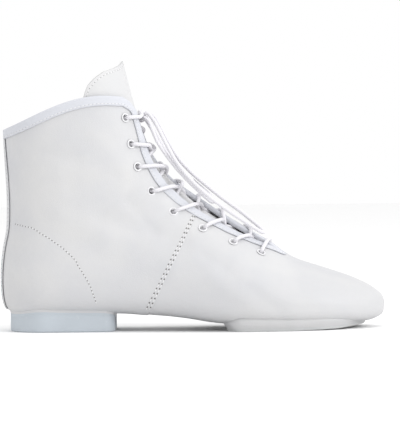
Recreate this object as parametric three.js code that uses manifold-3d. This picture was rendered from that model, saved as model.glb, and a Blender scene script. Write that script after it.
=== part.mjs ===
// White lace-up jazz boot for the right foot, with a split sole.
// X runs from heel to toe, the outer side of the foot is at negative Y, and Z is up.
// The origin is on the floor under the middle of the heel block. All sizes are in millimetres.

import * as THREE from 'three';
import { mergeVertices } from 'three/addons/utils/BufferGeometryUtils.js';
import Module from 'manifold-3d';

const wasm = await Module();
wasm.setup();

// Driving sizes of the last and the shaft
const bootLength = 250.7;
const heelBulge = 39.9;
const ballWidth = 88;
const heelWidth = 61;
const vampHeight = 58.8;
const collarBackHeight = 131;
const collarFrontHeight = 150.5;
const collarBow = 8;
const toeTipHeight = 15.4;

// Leather, tape and clearances
const wall = 1.6;
const clearance = 0.3;
const seamStep = 0.5;
const tapeWidth = 5.5;
const tapeThickness = 0.6;
const stripWidth = 19;
const stripThickness = 0.7;
const stripFoot = 3;

// Sole
const heelHeight = 11;
const heelLength = 69;
const heelBlockWidth = 50;
const heelBackRadius = 24.5;
const heelCornerRadius = 7;
const heelBreastLean = 2;
const padThickness = 3.5;
const padInset = 5.5;
const padStartShare = 0.58596;
const padEndShare = 0.94695;
const padFrontRound = 26;
const padBackRound = 10;
const padSpring = 2.6;
const padFlatShare = 0.75748;
const padBend = 0.6;
const padBendRise = 0.3;
const padRoundPower = 2.4;
const padBackDraw = 0.25;
const solePocket = 2;
const grooveDepth = 1;
const grooveWidth = 1.6;
const groovePitch = 6;

// Insole and tongue
const insoleThickness = 2;
const tongueThickness = 2;
const tongueTipRise = 26.5;
const tongueHalfWidth = 43;
const tongueNarrowing = 0.55;
const tongueNarrowingPower = 1.5;

// Throat, eyelets and lace
const throatFootShare = 0.72158;
const throatHalfGap = 13;
const throatShift = 15;
const eyeletInset = 12;
const eyeletOuterRadius = 3.1;
const eyeletBoreRadius = 1.9;
const eyeletBarrelRadius = 2.35;
const eyeletFlange = 0.5;
const eyeletSides = 8;
const laceRadius = 1.25;
const knotWidth = 10;
const knotDepth = 6.4;
const knotHeight = 7.2;
const knotAhead = 4.404;
const knotBelow = 10.5;
const knotSides = 10;
const knotRings = 7;
const legSteps = 5;
const legSlope = 0.25;
const legSides = 6;
const strandSides = 8;
const lastMeeting = 0.895;

// Worked out from the sizes above
const soleTop = padThickness + clearance;
const seatTop = heelHeight + clearance;
const halfBall = ballWidth / 2;
const halfHeel = heelWidth / 2;
const tapeReach = clearance + tapeThickness;
const throatFoot = throatFootShare * bootLength - heelBulge;
const padStart = padStartShare * bootLength - heelBulge;
const padEnd = padEndShare * bootLength - heelBulge;
const padFlatEnd = padFlatShare * bootLength - heelBulge;
const laceLift = Math.max(eyeletFlange, tapeThickness) + 4 * clearance + laceRadius;

const tongueDepth = wall + tapeThickness + 3.5 * clearance;
const laceDip = 2 * clearance + laceRadius - tongueDepth;
const edgeRoom = tapeReach + laceRadius + 4 * clearance;

// Sections of the forefoot, from the toe tip back. sole and top are where a section meets the sole and
// the top line, as shares of the length from the back; lift and height are shares of the toe tip's
// height and the vamp's height; lateral, medial, keel and ridge are shares of half the ball width.
const toeSections = [
  { sole: 1.0, top: 1.0, lift: 1.0, height: 0.262, lateral: -0.16, medial: 0.16,
    keel: 0.16, ridge: 0.16, wide: 0.5, under: 2, over: 2.0 },
  { sole: 0.996, top: 0.995, lift: 0.5, height: 0.337, lateral: -0.01, medial: 0.31,
    keel: 0.16, ridge: 0.16, wide: 0.5, under: 2, over: 2.0 },
  { sole: 0.986, top: 0.984, lift: 0.29, height: 0.391, lateral: 0.14, medial: 0.43,
    keel: 0.14, ridge: 0.17, wide: 0.46, under: 2.2, over: 2.0 },
  { sole: 0.967, top: 0.961, lift: 0.12, height: 0.463, lateral: 0.33, medial: 0.58,
    keel: 0.12, ridge: 0.18, wide: 0.43, under: 2.6, over: 2.0 },
  { sole: 0.939, top: 0.931, lift: 0.02, height: 0.527, lateral: 0.49, medial: 0.69,
    keel: 0.1, ridge: 0.19, wide: 0.4, under: 3, over: 2.0 },
  { sole: 0.897, top: 0.891, lift: 0, height: 0.595, lateral: 0.66, medial: 0.82,
    keel: 0.08, ridge: 0.2, wide: 0.37, under: 3.3, over: 1.95 },
  { sole: 0.833, top: 0.833, lift: 0, height: 0.677, lateral: 0.83, medial: 0.93,
    keel: 0.05, ridge: 0.21, wide: 0.34, under: 3.6, over: 1.9 },
  { sole: 0.761, top: 0.763, lift: 0, height: 0.782, lateral: 0.95, medial: 0.99,
    keel: 0.02, ridge: 0.21, wide: 0.31, under: 3.7, over: 1.9 },
  { sole: 0.698, top: 0.702, lift: 0, height: 0.952, lateral: 1.0, medial: 0.99,
    keel: 0, ridge: 0.21, wide: 0.28, under: 3.7, over: 1.9 },
];

// Sections that fan from the ball round the heel and up the shaft. arch goes from 0 at the ball to 1 at
// the heel seat, back from 0 at the seat to 1 at the collar, and rise from 0 at the foot of the throat
// to 1 at the collar. lateral and medial are shares of half the ball width before the seam and of half
// the heel width behind it. bow is a share of the height that the collar's side swells above its ends.
const waistSections = [
  { sole: 0.646, top: 0.654, arch: 0, rise: 0.044, lateral: 1.01,
    medial: 0.945, ridge: 0.2, wide: 0.26, under: 3.7, over: 1.9 },
  { sole: 0.598, top: 0.62, arch: 0.01, rise: 0.101, lateral: 0.99,
    medial: 0.88, ridge: 0.19, wide: 0.26, under: 3.6, over: 1.9 },
  { sole: 0.546, top: 0.59, arch: 0.15, rise: 0.149, lateral: 0.945,
    medial: 0.805, ridge: 0.18, wide: 0.26, under: 3.5, over: 1.9 },
  { sole: 0.486, top: 0.564, arch: 0.48, rise: 0.196, lateral: 0.88,
    medial: 0.735, ridge: 0.17, wide: 0.26, under: 3.5, over: 1.9 },
  { sole: 0.43, top: 0.542, arch: 0.71, rise: 0.237, lateral: 0.82,
    medial: 0.695, ridge: 0.155, wide: 0.26, under: 3.5, over: 1.9 },
  { sole: 0.373, top: 0.524, arch: 0.85, rise: 0.274, lateral: 0.77,
    medial: 0.67, ridge: 0.14, wide: 0.26, under: 3.5, over: 1.9 },
];

const heelSections = [
  { sole: 0.319, top: 0.511, arch: 0.95, back: 0, bow: 0, rise: 0.305,
    lateral: 1.06, medial: 0.96, ridge: 0.125, wide: 0.26, under: 3.6, over: 1.9 },
  { sole: 0.255, top: 0.499, arch: 0.99, back: 0, bow: 0, rise: 0.334,
    lateral: 1.02, medial: 0.97, ridge: 0.11, wide: 0.27, under: 3.8, over: 1.95 },
  { sole: 0.179, top: 0.488, arch: 1, back: 0, bow: 0, rise: 0.364,
    lateral: 1.0, medial: 0.98, ridge: 0.09, wide: 0.28, under: 4, over: 1.95 },
  { sole: 0.103, top: 0.479, arch: 1, back: 0, bow: 0, rise: 0.389,
    lateral: 1.0, medial: 1.0, ridge: 0.07, wide: 0.3, under: 3.8, over: 2.0 },
  { sole: 0.051, top: 0.471, arch: 1, back: 0.001, bow: 0, rise: 0.411,
    lateral: 1.0, medial: 1.0, ridge: 0.05, wide: 0.33, under: 3.4, over: 2.0 },
  { sole: 0.025, top: 0.465, arch: 1, back: 0.012, bow: 0, rise: 0.43,
    lateral: 0.99, medial: 0.99, ridge: 0.04, wide: 0.36, under: 2.9, over: 2.0 },
  { sole: 0.01, top: 0.458, arch: 1, back: 0.043, bow: 0, rise: 0.446,
    lateral: 0.985, medial: 0.985, ridge: 0.03, wide: 0.38, under: 2.6, over: 2.0 },
  { sole: 0.0024, top: 0.452, arch: 1, back: 0.102, bow: 0, rise: 0.465,
    lateral: 0.98, medial: 0.98, ridge: 0.02, wide: 0.4, under: 2.4, over: 2.0 },
  { sole: 0, top: 0.445, arch: 1, back: 0.181, bow: 0, rise: 0.485,
    lateral: 0.98, medial: 0.98, ridge: 0.01, wide: 0.41, under: 2.3, over: 2.0 },
  { sole: 0.0012, top: 0.438, arch: 1, back: 0.265, bow: 0, rise: 0.507,
    lateral: 0.98, medial: 0.98, ridge: 0, wide: 0.42, under: 2.2, over: 2.0 },
  { sole: 0.0068, top: 0.43, arch: 1, back: 0.357, bow: 0, rise: 0.533,
    lateral: 0.98, medial: 0.98, ridge: 0, wide: 0.43, under: 2.15, over: 2.0 },
  { sole: 0.0156, top: 0.421, arch: 1, back: 0.453, bow: 0, rise: 0.567,
    lateral: 0.98, medial: 0.98, ridge: 0, wide: 0.44, under: 2.1, over: 2.0 },
  { sole: 0.0184, top: 0.411, arch: 1, back: 0.549, bow: 0.05, rise: 0.608,
    lateral: 0.98, medial: 0.98, ridge: 0, wide: 0.45, under: 2.1, over: 2.0 },
  { sole: 0.0184, top: 0.4, arch: 1, back: 0.649, bow: 0.15, rise: 0.66,
    lateral: 0.985, medial: 0.985, ridge: 0, wide: 0.45, under: 2.1, over: 2.0 },
  { sole: 0.0164, top: 0.388, arch: 1, back: 0.749, bow: 0.3, rise: 0.726,
    lateral: 0.995, medial: 0.995, ridge: 0, wide: 0.45, under: 2.1, over: 2.05 },
  { sole: 0.014, top: 0.375, arch: 1, back: 0.841, bow: 0.5, rise: 0.808,
    lateral: 1.01, medial: 1.01, ridge: 0, wide: 0.45, under: 2.15, over: 2.1 },
  { sole: 0.012, top: 0.364, arch: 1, back: 0.925, bow: 0.75, rise: 0.901,
    lateral: 1.025, medial: 1.025, ridge: 0, wide: 0.45, under: 2.2, over: 2.1 },
  { sole: 0.0108, top: 0.3514, arch: 1, back: 1, bow: 1, rise: 1,
    lateral: 1.04, medial: 1.04, ridge: 0, wide: 0.45, under: 2.2, over: 2.1 },
];

// The throat, by the share of the top line from collar to throat foot: half is a share of the half gap,
// shift a share of the throat's shift to the lateral side.
const throatShape = [
  { along: 0, half: 1.5, shift: 0 },
  { along: 0.02, half: 1.1, shift: 0 },
  { along: 0.045, half: 0.88, shift: 0 },
  { along: 0.08, half: 0.82, shift: 0 },
  { along: 0.16, half: 0.87, shift: 0 },
  { along: 0.28, half: 1.0, shift: 0.08 },
  { along: 0.4, half: 0.97, shift: 0.2 },
  { along: 0.5, half: 0.85, shift: 0.34 },
  { along: 0.63, half: 0.7, shift: 0.63 },
  { along: 0.76, half: 0.56, shift: 0.93 },
  { along: 0.86, half: 0.42, shift: 1.03 },
  { along: 0.93, half: 0.27, shift: 1.02 },
  { along: 1, half: 0, shift: 0.97 },
];

// Eyelet pairs from the collar down, by the same share, on the lateral and the medial facing
const eyeletPairs = [
  { lateral: 0.09, medial: 0.09 },
  { lateral: 0.203, medial: 0.203 },
  { lateral: 0.295, medial: 0.3 },
  { lateral: 0.4, medial: 0.41 },
  { lateral: 0.51, medial: 0.53 },
  { lateral: 0.63, medial: 0.66 },
  { lateral: 0.765, medial: 0.81 },
  { lateral: 0.905, medial: 0.955 },
];

function lerp(a, b, share) {
  return a + (b - a) * share;
}

// Cubic from start to end with the slopes of its neighbours
function cubic(before, start, end, after, share) {
  const slopeStart = (end - before) / 2;
  const slopeEnd = (after - start) / 2;
  const square = share * share;
  const cube = share * square;
  return (
    start * (2 * cube - 3 * square + 1) +
    slopeStart * (cube - 2 * square + share) +
    end * (3 * square - 2 * cube) +
    slopeEnd * (cube - square)
  );
}

// A column of a table read smoothly at a value of its key, clamped to the table's ends
function readTable(table, key, column, value) {
  const last = table.length - 1;
  const clamped = Math.min(Math.max(value, table[0][key]), table[last][key]);
  let high = 1;
  while (high < last && table[high][key] < clamped) high += 1;
  const share = (clamped - table[high - 1][key]) / (table[high][key] - table[high - 1][key]);
  const nearest = [high - 2, high - 1, high, high + 1];
  const entries = nearest.map((index) => table[Math.min(Math.max(index, 0), last)]);
  return cubic(...entries.map((entry) => entry[column]), share);
}

// One section in millimetres: its foot and head points, its half-widths and its fullness
function toeSection(row) {
  const foot = new THREE.Vector3(
    row.sole * bootLength - heelBulge,
    row.keel * halfBall,
    soleTop + row.lift * (toeTipHeight - soleTop),
  );
  const head = new THREE.Vector3(
    row.top * bootLength - heelBulge,
    row.ridge * halfBall,
    row.height * vampHeight,
  );
  return sized(foot, head, row, halfBall);
}

function fanSection(row, half) {
  const arch = lerp(soleTop, seatTop, row.arch);
  const foot = new THREE.Vector3(
    row.sole * bootLength - heelBulge,
    0,
    arch + (row.back ?? 0) * (collarBackHeight - seatTop),
  );
  const head = new THREE.Vector3(
    row.top * bootLength - heelBulge,
    row.ridge * halfBall,
    lerp(vampHeight, collarFrontHeight, row.rise),
  );
  return sized(foot, head, row, half);
}

function sized(foot, head, row, half) {
  const middle = lerp(foot.y, head.y, row.wide);
  return {
    numbers: [
      foot.x, foot.y, foot.z, head.x, head.y, head.z,
      middle + row.lateral * half, row.medial * half - middle, row.wide, row.under, row.over,
      (row.bow ?? 0) * collarBow,
    ],
  };
}

const sections = [
  ...toeSections.map(toeSection),
  ...waistSections.map((row) => fanSection(row, halfBall)),
  ...heelSections.map((row) => fanSection(row, halfHeel)),
];
const toeTip = new THREE.Vector3().fromArray(sections[0].numbers, 3);
const lastSection = sections.length - 1;
const seamSection = toeSections.length + waistSections.length - 1;

// Smooth section at any position between the rows, by a cubic through each number
function sectionAt(position) {
  const clamped = Math.min(Math.max(position, 0), lastSection);
  const index = Math.min(Math.floor(clamped), lastSection - 1);
  const share = clamped - index;
  const rows = [-1, 0, 1, 2].map((step) => {
    const near = Math.min(Math.max(index + step, 0), lastSection);
    return sections[near].numbers;
  });
  const numbers = rows[1].map((start, k) => {
    const end = rows[2][k];
    const before = index === 0 ? 2 * start - end : rows[0][k];
    const after = index === lastSection - 1 ? 2 * end - start : rows[3][k];
    return cubic(before, start, end, after, share);
  });
  return {
    foot: new THREE.Vector3(numbers[0], numbers[1], numbers[2]),
    head: new THREE.Vector3(numbers[3], numbers[4], numbers[5]),
    lateral: numbers[6],
    medial: numbers[7],
    wide: numbers[8],
    under: numbers[9],
    over: numbers[10],
    bow: numbers[11],
  };
}

// A section's outline: from the head down the lateral side to the foot and up the medial side, with the
// distance run so far at each point
const outlineSteps = 40;
const bowLean = 1.25;
const outlines = new Map();

function outlineAt(position) {
  const key = position.toFixed(5);
  if (outlines.has(key)) return outlines.get(key);
  const section = sectionAt(position);
  const points = [];
  for (let i = 0; i <= 4 * outlineSteps; i += 1) {
    const lateralSide = i <= 2 * outlineSteps;
    const turn = lateralSide ? i / (2 * outlineSteps) : (4 * outlineSteps - i) / (2 * outlineSteps);
    const half = lateralSide ? -section.lateral : section.medial;
    const overHalf = turn <= 0.5;
    const angle = (overHalf ? turn : 1 - turn) * Math.PI;
    const power = 2 / (overHalf ? section.over : section.under);
    const rise = Math.pow(Math.cos(angle), power);
    const out = Math.pow(Math.sin(angle), power);
    const share = overHalf ? section.wide + (1 - section.wide) * rise : section.wide * (1 - rise);
    const point = new THREE.Vector3().lerpVectors(section.foot, section.head, share);
    point.y += half * out;
    point.z += section.bow * Math.sin(Math.PI * Math.pow(share, bowLean));
    points.push(point);
  }
  const runs = [0];
  for (let i = 1; i < points.length; i += 1) {
    runs.push(runs[i - 1] + points[i].distanceTo(points[i - 1]));
  }
  const outline = { points, runs, keel: runs[2 * outlineSteps], round: runs[runs.length - 1] };
  outlines.set(key, outline);
  return outline;
}

// The point at a distance round from the head, lateral side first
function outerPoint(position, distance) {
  const outline = outlineAt(position);
  const round = outline.round;
  const run = ((distance % round) + round) % round;
  let low = 0;
  let high = outline.runs.length - 1;
  while (high - low > 1) {
    const middle = (low + high) >> 1;
    if (outline.runs[middle] <= run) low = middle;
    else high = middle;
  }
  const length = outline.runs[high] - outline.runs[low];
  const share = length > 0 ? (run - outline.runs[low]) / length : 0;
  return new THREE.Vector3().lerpVectors(outline.points[low], outline.points[high], share);
}

// Outward direction of the smooth skin, from its slopes over a short step each way
const normalStep = 0.06;
const normalReach = 0.8;
const normalShare = 0.02;
const normalStart = 0.3;

function outerNormal(position, distance) {
  const round = outlineAt(position).round;
  const share = distance / round;
  const reach = Math.min(normalReach, round * normalShare);
  const ahead = Math.min(position + normalStep, lastSection);
  const behind = Math.max(position - normalStep, normalStart);
  const along = outerPoint(ahead, share * outlineAt(ahead).round);
  along.sub(outerPoint(behind, share * outlineAt(behind).round));
  const around = outerPoint(position, distance + reach);
  around.sub(outerPoint(position, distance - reach));
  return new THREE.Vector3().crossVectors(along, around).normalize();
}

function skin(position, distance, offset) {
  return outerPoint(position, distance).addScaledVector(outerNormal(position, distance), offset);
}

// Length of the top line from the collar towards the toe, and the position at a share of the throat
const topLineSteps = 10;
const topLine = [];
for (let i = lastSection * topLineSteps; i >= 0; i -= 1) {
  const position = i / topLineSteps;
  const head = sectionAt(position).head;
  const last = topLine[topLine.length - 1];
  topLine.push({ position, head, run: last ? last.run + head.distanceTo(last.head) : 0 });
}

function readTopLine(value, from, to) {
  const high = Math.max(topLine.findIndex((entry) => entry[from] >= value), 1);
  const a = topLine[high - 1];
  const b = topLine[high];
  return lerp(a[to], b[to], (value - a[from]) / (b[from] - a[from]));
}

for (const entry of topLine) {
  entry.reach = entry.head.x;
  entry.depth = lastSection - entry.position;
}
const throatLength = readTopLine(throatFoot, 'reach', 'run');

function positionAlong(share) {
  return readTopLine(share * throatLength, 'run', 'position');
}

function alongOf(position) {
  return readTopLine(lastSection - position, 'depth', 'run') / throatLength;
}

function throatAt(along) {
  return {
    half: throatHalfGap * readTable(throatShape, 'along', 'half', along),
    middle: throatShift * readTable(throatShape, 'along', 'shift', along),
  };
}

// Rows of the shell, from the toe to the collar: the sections, halves between wide ones, both sides of
// the seam, the foot of the throat and the tape's width from the edges
const throatFootPosition = positionAlong(1);
const tapeFootPosition = readTopLine(throatLength + tapeWidth, 'run', 'position');
const collarStep = outerPoint(lastSection, 0).distanceTo(outerPoint(lastSection - 1, 0));
const tapeCollarPosition = lastSection - Math.min(tapeWidth / collarStep, 0.9);
const seamHalfWidth = 0.06;
const seamAfter = seamSection + seamHalfWidth;
const seamBefore = seamSection - seamHalfWidth;
const fixedRows = [
  throatFootPosition, tapeFootPosition, tapeCollarPosition, seamBefore, seamAfter, lastSection,
];
const fixedMargin = 0.25;
const splitRows = [4.5, 5.5, 6.5, 7.5];

function rowPositions() {
  const whole = sections.map((_, index) => index).slice(1);
  const free = [...whole, ...splitRows].filter((position) =>
    fixedRows.every((fixed) => Math.abs(fixed - position) > fixedMargin),
  );
  return [...free, ...fixedRows].sort((a, b) => a - b);
}

const rows = rowPositions();
const sideColumns = 7;
const bandShare = 0.06;

// Distances round one row, from the lateral edge of the throat to the medial edge
function columnsAt(position) {
  const outline = outlineAt(position);
  const closedThroat = { half: 0, middle: throatShift };
  const throat = position > throatFootPosition ? throatAt(alongOf(position)) : closedThroat;
  const widest = outline.round * bandShare;
  const middle = Math.min(throat.middle, widest);
  const tape = Math.min(tapeWidth, widest);
  const strip = Math.min(stripWidth / 2, widest);
  const lateralEdge = middle + throat.half;
  const medialEdge = outline.round + middle - throat.half;
  const keel = outline.keel;
  const distances = [lateralEdge];
  for (let i = 0; i <= sideColumns; i += 1) {
    distances.push(lerp(lateralEdge + tape, keel - strip, i / sideColumns));
  }
  distances.push(keel);
  for (let i = 0; i <= sideColumns; i += 1) {
    distances.push(lerp(keel + strip, medialEdge - tape, i / sideColumns));
  }
  distances.push(medialEdge);
  return distances;
}

const columnCount = 2 * sideColumns + 5;
const keelColumn = sideColumns + 2;

// The quarter laps over the vamp at the seam, and thins out to the next row behind it
function lap(position) {
  return position === seamAfter ? seamStep : 0;
}

const grid = rows.map((position) => {
  const open = position > throatFootPosition + 1e-6;
  return columnsAt(position).map((distance) => ({
    point: outerPoint(position, distance),
    normal: outerNormal(position, distance),
    lap: lap(position),
    open,
  }));
});

function gridPoint(row, column, offset) {
  const place = grid[row][column];
  return place.point.clone().addScaledVector(place.normal, offset + (offset > -wall ? place.lap : 0));
}

// Collects faces given by their corners, and closes them into one geometry
function shell() {
  const corners = [];
  return {
    quad(a, b, c, d) {
      corners.push(a, b, c, a, c, d);
    },
    triangle(a, b, c) {
      corners.push(a, b, c);
    },
    geometry() {
      const array = new Float32Array(corners.length * 3);
      corners.forEach((corner, index) => corner.toArray(array, index * 3));
      const geometry = new THREE.BufferGeometry();
      geometry.setAttribute('position', new THREE.BufferAttribute(array, 3));
      return closed(geometry);
    },
  };
}

// Merges shared corners and drops faces that have collapsed to a line
function closed(geometry) {
  const source = geometry.clone();
  source.deleteAttribute('normal');
  source.deleteAttribute('uv');
  const merged = mergeVertices(source, 1e-3);
  const index = merged.index.array;
  const kept = [];
  for (let i = 0; i < index.length; i += 3) {
    const [a, b, c] = [index[i], index[i + 1], index[i + 2]];
    if (a !== b && b !== c && c !== a) kept.push(a, b, c);
  }
  merged.setIndex(kept);
  return merged;
}

function toSolid(geometry) {
  const merged = closed(geometry);
  const solid = new wasm.Manifold(
    new wasm.Mesh({
      numProp: 3,
      vertProperties: new Float32Array(merged.attributes.position.array),
      triVerts: new Uint32Array(merged.index.array),
    }),
  );
  return solid;
}

function toGeometry(solid) {
  const mesh = solid.getMesh();
  const geometry = new THREE.BufferGeometry();
  geometry.setAttribute('position', new THREE.BufferAttribute(new Float32Array(mesh.vertProperties), 3));
  geometry.setIndex(Array.from(mesh.triVerts));
  geometry.computeVertexNormals();
  return geometry;
}

// A closed skin of the whole last at an offset, its throat and collar capped flat
function lastSolid(offset) {
  const faces = shell();
  const tip = toeTip.clone().add(new THREE.Vector3(offset, 0, 0));
  const at = (row, column) => gridPoint(row, column % columnCount, offset);
  for (let column = 0; column < columnCount; column += 1) {
    faces.triangle(tip, at(0, column), at(0, column + 1));
    for (let row = 0; row < rows.length - 1; row += 1) {
      faces.quad(at(row, column), at(row + 1, column), at(row + 1, column + 1), at(row, column + 1));
    }
  }
  const centre = new THREE.Vector3();
  for (let column = 0; column < columnCount; column += 1) {
    centre.addScaledVector(at(rows.length - 1, column), 1 / columnCount);
  }
  for (let column = 0; column < columnCount; column += 1) {
    faces.triangle(centre, at(rows.length - 1, column + 1), at(rows.length - 1, column));
  }
  return toSolid(faces.geometry());
}

// The upper: outer and inner skins joined at the collar and down both throat edges
function upperShell() {
  const faces = shell();
  const outer = (row, column) => gridPoint(row, column, 0);
  const inner = (row, column) => gridPoint(row, column, -wall);
  const tipInside = toeTip.clone().add(new THREE.Vector3(-wall, 0, 0));
  const last = rows.length - 1;
  for (let column = 0; column < columnCount - 1; column += 1) {
    faces.triangle(toeTip, outer(0, column), outer(0, column + 1));
    faces.triangle(tipInside, inner(0, column + 1), inner(0, column));
    for (let row = 0; row < last; row += 1) {
      const next = column + 1;
      const turned = row === last - 1 && column === 0;
      if (turned) {
        faces.quad(outer(row + 1, column), outer(row + 1, next), outer(row, next), outer(row, column));
        faces.quad(inner(row, next), inner(row + 1, next), inner(row + 1, column), inner(row, column));
      } else {
        faces.quad(outer(row, column), outer(row + 1, column), outer(row + 1, next), outer(row, next));
        faces.quad(inner(row, column), inner(row, next), inner(row + 1, next), inner(row + 1, column));
      }
    }
    faces.quad(outer(last, column), inner(last, column), inner(last, column + 1), outer(last, column + 1));
  }
  for (let row = 0; row < last; row += 1) {
    if (!grid[row + 1][0].open) continue;
    const end = columnCount - 1;
    faces.quad(outer(row, 0), inner(row, 0), inner(row + 1, 0), outer(row + 1, 0));
    faces.quad(outer(row, end), outer(row + 1, end), inner(row + 1, end), inner(row, end));
  }
  return toSolid(faces.geometry());
}

// A point on the flat faces between the upper's columns, or on the smooth skin within the throat
function facetPoint(position, distance, offset) {
  const columns = columnsAt(position);
  const round = outlineAt(position).round;
  const inThroat = distance < columns[0] && distance + round > columns[columnCount - 1];
  if (inThroat) return skin(position, distance, offset);
  const reach = distance < columns[0] ? distance + round : distance;
  const high = Math.max(columns.findIndex((column) => column >= reach), 1);
  const share = (reach - columns[high - 1]) / (columns[high] - columns[high - 1]);
  return skin(position, columns[high - 1], offset).lerp(skin(position, columns[high], offset), share);
}

// Place on the skin of an eyelet, its axis along Z turned to the skin's normal
function eyeletPlace(side, along) {
  const position = positionAlong(along);
  const throat = throatAt(along);
  const out = throat.half + eyeletInset;
  const distance = side === 'lateral' ? throat.middle + out : throat.middle - out;
  const point = outerPoint(position, distance);
  const normal = outerNormal(position, distance);
  return { point, normal, position, distance };
}

const eyelets = eyeletPairs.flatMap((pair, index) =>
  ['lateral', 'medial'].map((side) => ({ side, number: index + 1, ...eyeletPlace(side, pair[side]) })),
);

function placed(geometry, eyelet) {
  const turn = new THREE.Quaternion().setFromUnitVectors(new THREE.Vector3(0, 1, 0), eyelet.normal);
  return geometry.clone().applyQuaternion(turn).translate(eyelet.point.x, eyelet.point.y, eyelet.point.z);
}

function eyeletGeometry() {
  const low = -wall - 2 * clearance;
  const profile = [
    [eyeletBoreRadius, low],
    [eyeletBarrelRadius, low],
    [eyeletBarrelRadius, clearance],
    [eyeletOuterRadius, clearance],
    [eyeletOuterRadius, clearance + eyeletFlange],
    [eyeletBoreRadius, clearance + eyeletFlange],
    [eyeletBoreRadius, low],
  ].map(([radius, height]) => new THREE.Vector2(radius, height));
  return closed(new THREE.LatheGeometry(profile, eyeletSides));
}

function upperSolid() {
  const holeDepth = 4 * wall;
  const hole = new THREE.CylinderGeometry(
    eyeletBarrelRadius + clearance,
    eyeletBarrelRadius + clearance,
    holeDepth,
    eyeletSides,
  );
  return eyelets.reduce((solid, eyelet) => solid.subtract(toSolid(placed(hole, eyelet))), upperShell());
}

// An outline in X and Z carried across the boot, or one in X and Y carried upwards
function acrossBoot(outline, halfWidth) {
  const shape = new THREE.Shape(outline.map(([x, z]) => new THREE.Vector2(x, z)));
  const geometry = new THREE.ExtrudeGeometry(shape, { depth: 2 * halfWidth, bevelEnabled: false });
  geometry.rotateX(Math.PI / 2).translate(0, halfWidth, 0);
  return toSolid(geometry);
}

function upwards(shape, height, segments) {
  const options = { depth: height, bevelEnabled: false, curveSegments: segments };
  return toSolid(new THREE.ExtrudeGeometry(shape, options));
}

// The line of the upper's underside from toe to heel, raised by a height
const insoleFront = 3;
const insoleBack = seamSection + 5;

function undersideLine(height) {
  const points = [];
  for (let position = insoleFront; position <= insoleBack; position += 1) {
    const foot = sectionAt(position).foot;
    points.push([foot.x, foot.z + height]);
  }
  return points;
}

function insoleSolid() {
  const line = undersideLine(wall + clearance + insoleThickness);
  const front = [line[0][0] + padInset, line[0][1]];
  const back = [-heelBulge, line[line.length - 1][1]];
  const slab = acrossBoot([[front[0], 0], front, ...line, back, [back[0], 0]].reverse(), ballWidth);
  return lastSolid(-wall - clearance).intersect(slab);
}

// Grooves across the underside of the sole
function grooves(from, to) {
  const cutters = [];
  for (let x = from; x <= to; x += groovePitch) {
    const box = new THREE.BoxGeometry(grooveWidth, 2 * ballWidth, 2 * grooveDepth);
    cutters.push(toSolid(box.translate(x, 0, 0)));
  }
  return cutters.reduce((all, cutter) => all.add(cutter));
}

function heelSolid() {
  const half = heelBlockWidth / 2;
  const front = heelLength / 2;
  const centre = -front + heelBackRadius;
  const outline = new THREE.Shape();
  outline.moveTo(front, -half + heelCornerRadius);
  outline.lineTo(front, half - heelCornerRadius);
  outline.absarc(front - heelCornerRadius, half - heelCornerRadius, heelCornerRadius, 0, Math.PI / 2, false);
  outline.lineTo(centre, half);
  outline.absellipse(centre, 0, heelBackRadius, half, Math.PI / 2, 1.5 * Math.PI, false, 0);
  outline.lineTo(front - heelCornerRadius, -half);
  const corner = heelCornerRadius;
  outline.absarc(front - corner, -half + corner, corner, 1.5 * Math.PI, 0, false);
  const top = seatTop + solePocket;
  const block = upwards(outline, top, 6);
  const lean = acrossBoot(
    [
      [-heelBulge - 1, -1],
      [front - heelBreastLean, -1],
      [front + heelBreastLean / 2, top + 1],
      [-heelBulge - 1, top + 1],
    ],
    ballWidth,
  );
  const firstGroove = -front + groovePitch;
  const grooved = block.intersect(lean).subtract(grooves(firstGroove, front - groovePitch));
  return grooved.subtract(lastSolid(clearance));
}

// Side of the upper seen from above, at a distance along X
function sideAt(x, side) {
  const sole = (x + heelBulge) / bootLength;
  const all = [...toeSections, ...waistSections];
  let high = 1;
  while (high < all.length - 1 && all[high].sole > sole) high += 1;
  const a = all[high - 1];
  const b = all[high];
  return lerp(a[side], b[side], (a.sole - sole) / (a.sole - b.sole)) * halfBall;
}

function padSolid() {
  const steps = 14;
  const lateral = [];
  const medial = [];
  const middle = (sideAt(padEnd, 'medial') - sideAt(padEnd, 'lateral')) / 2;
  for (let i = 0; i <= steps; i += 1) {
    const x = lerp(padStart, padEnd, (1 - Math.cos((i / steps) * Math.PI)) / 2);
    const frontShare = Math.max(0, (x - padEnd + padFrontRound) / padFrontRound);
    const backShare = Math.max(0, (padStart + padBackRound - x) / padBackRound);
    const full = Math.sqrt(1 - frontShare ** padRoundPower) * (1 - padBackDraw * backShare ** 2);
    lateral.push([x, lerp(middle, -sideAt(x, 'lateral') + padInset, full)]);
    medial.push([x, lerp(middle, sideAt(x, 'medial') - padInset, full)]);
  }
  const outline = [...lateral, ...medial.slice(0, -1).reverse()];
  const shape = new THREE.Shape(outline.map(([x, y]) => new THREE.Vector2(x, y)));
  const top = soleTop + solePocket;
  const plate = upwards(shape, top + padSpring, 1);
  const spring = acrossBoot(
    [
      [padStart - 1, 0],
      [padFlatEnd, 0],
      [lerp(padFlatEnd, padEnd, padBend), padSpring * padBendRise],
      [padEnd + 1, padSpring],
      [padEnd + 1, top + padSpring],
      [lerp(padFlatEnd, padEnd, padBend), top + padSpring * padBendRise],
      [padFlatEnd, top],
      [padStart - 1, top],
    ],
    ballWidth,
  );
  return plate.intersect(spring).subtract(lastSolid(clearance));
}

// The tongue: a wide sheet under the facings that runs up to a point above the collar
const tongueFoot = 10;
const tongueColumns = 12;
const tongueTop = [
  { across: 0, rise: 1 },
  { across: 0.25, rise: 0.93 },
  { across: 0.5, rise: 0.8 },
  { across: 0.75, rise: 0.66 },
  { across: 0.92, rise: 0.5 },
  { across: 1, rise: 0.3 },
];

function tongueRise(across) {
  return tongueTipRise * readTable(tongueTop, 'across', 'rise', across);
}

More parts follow.
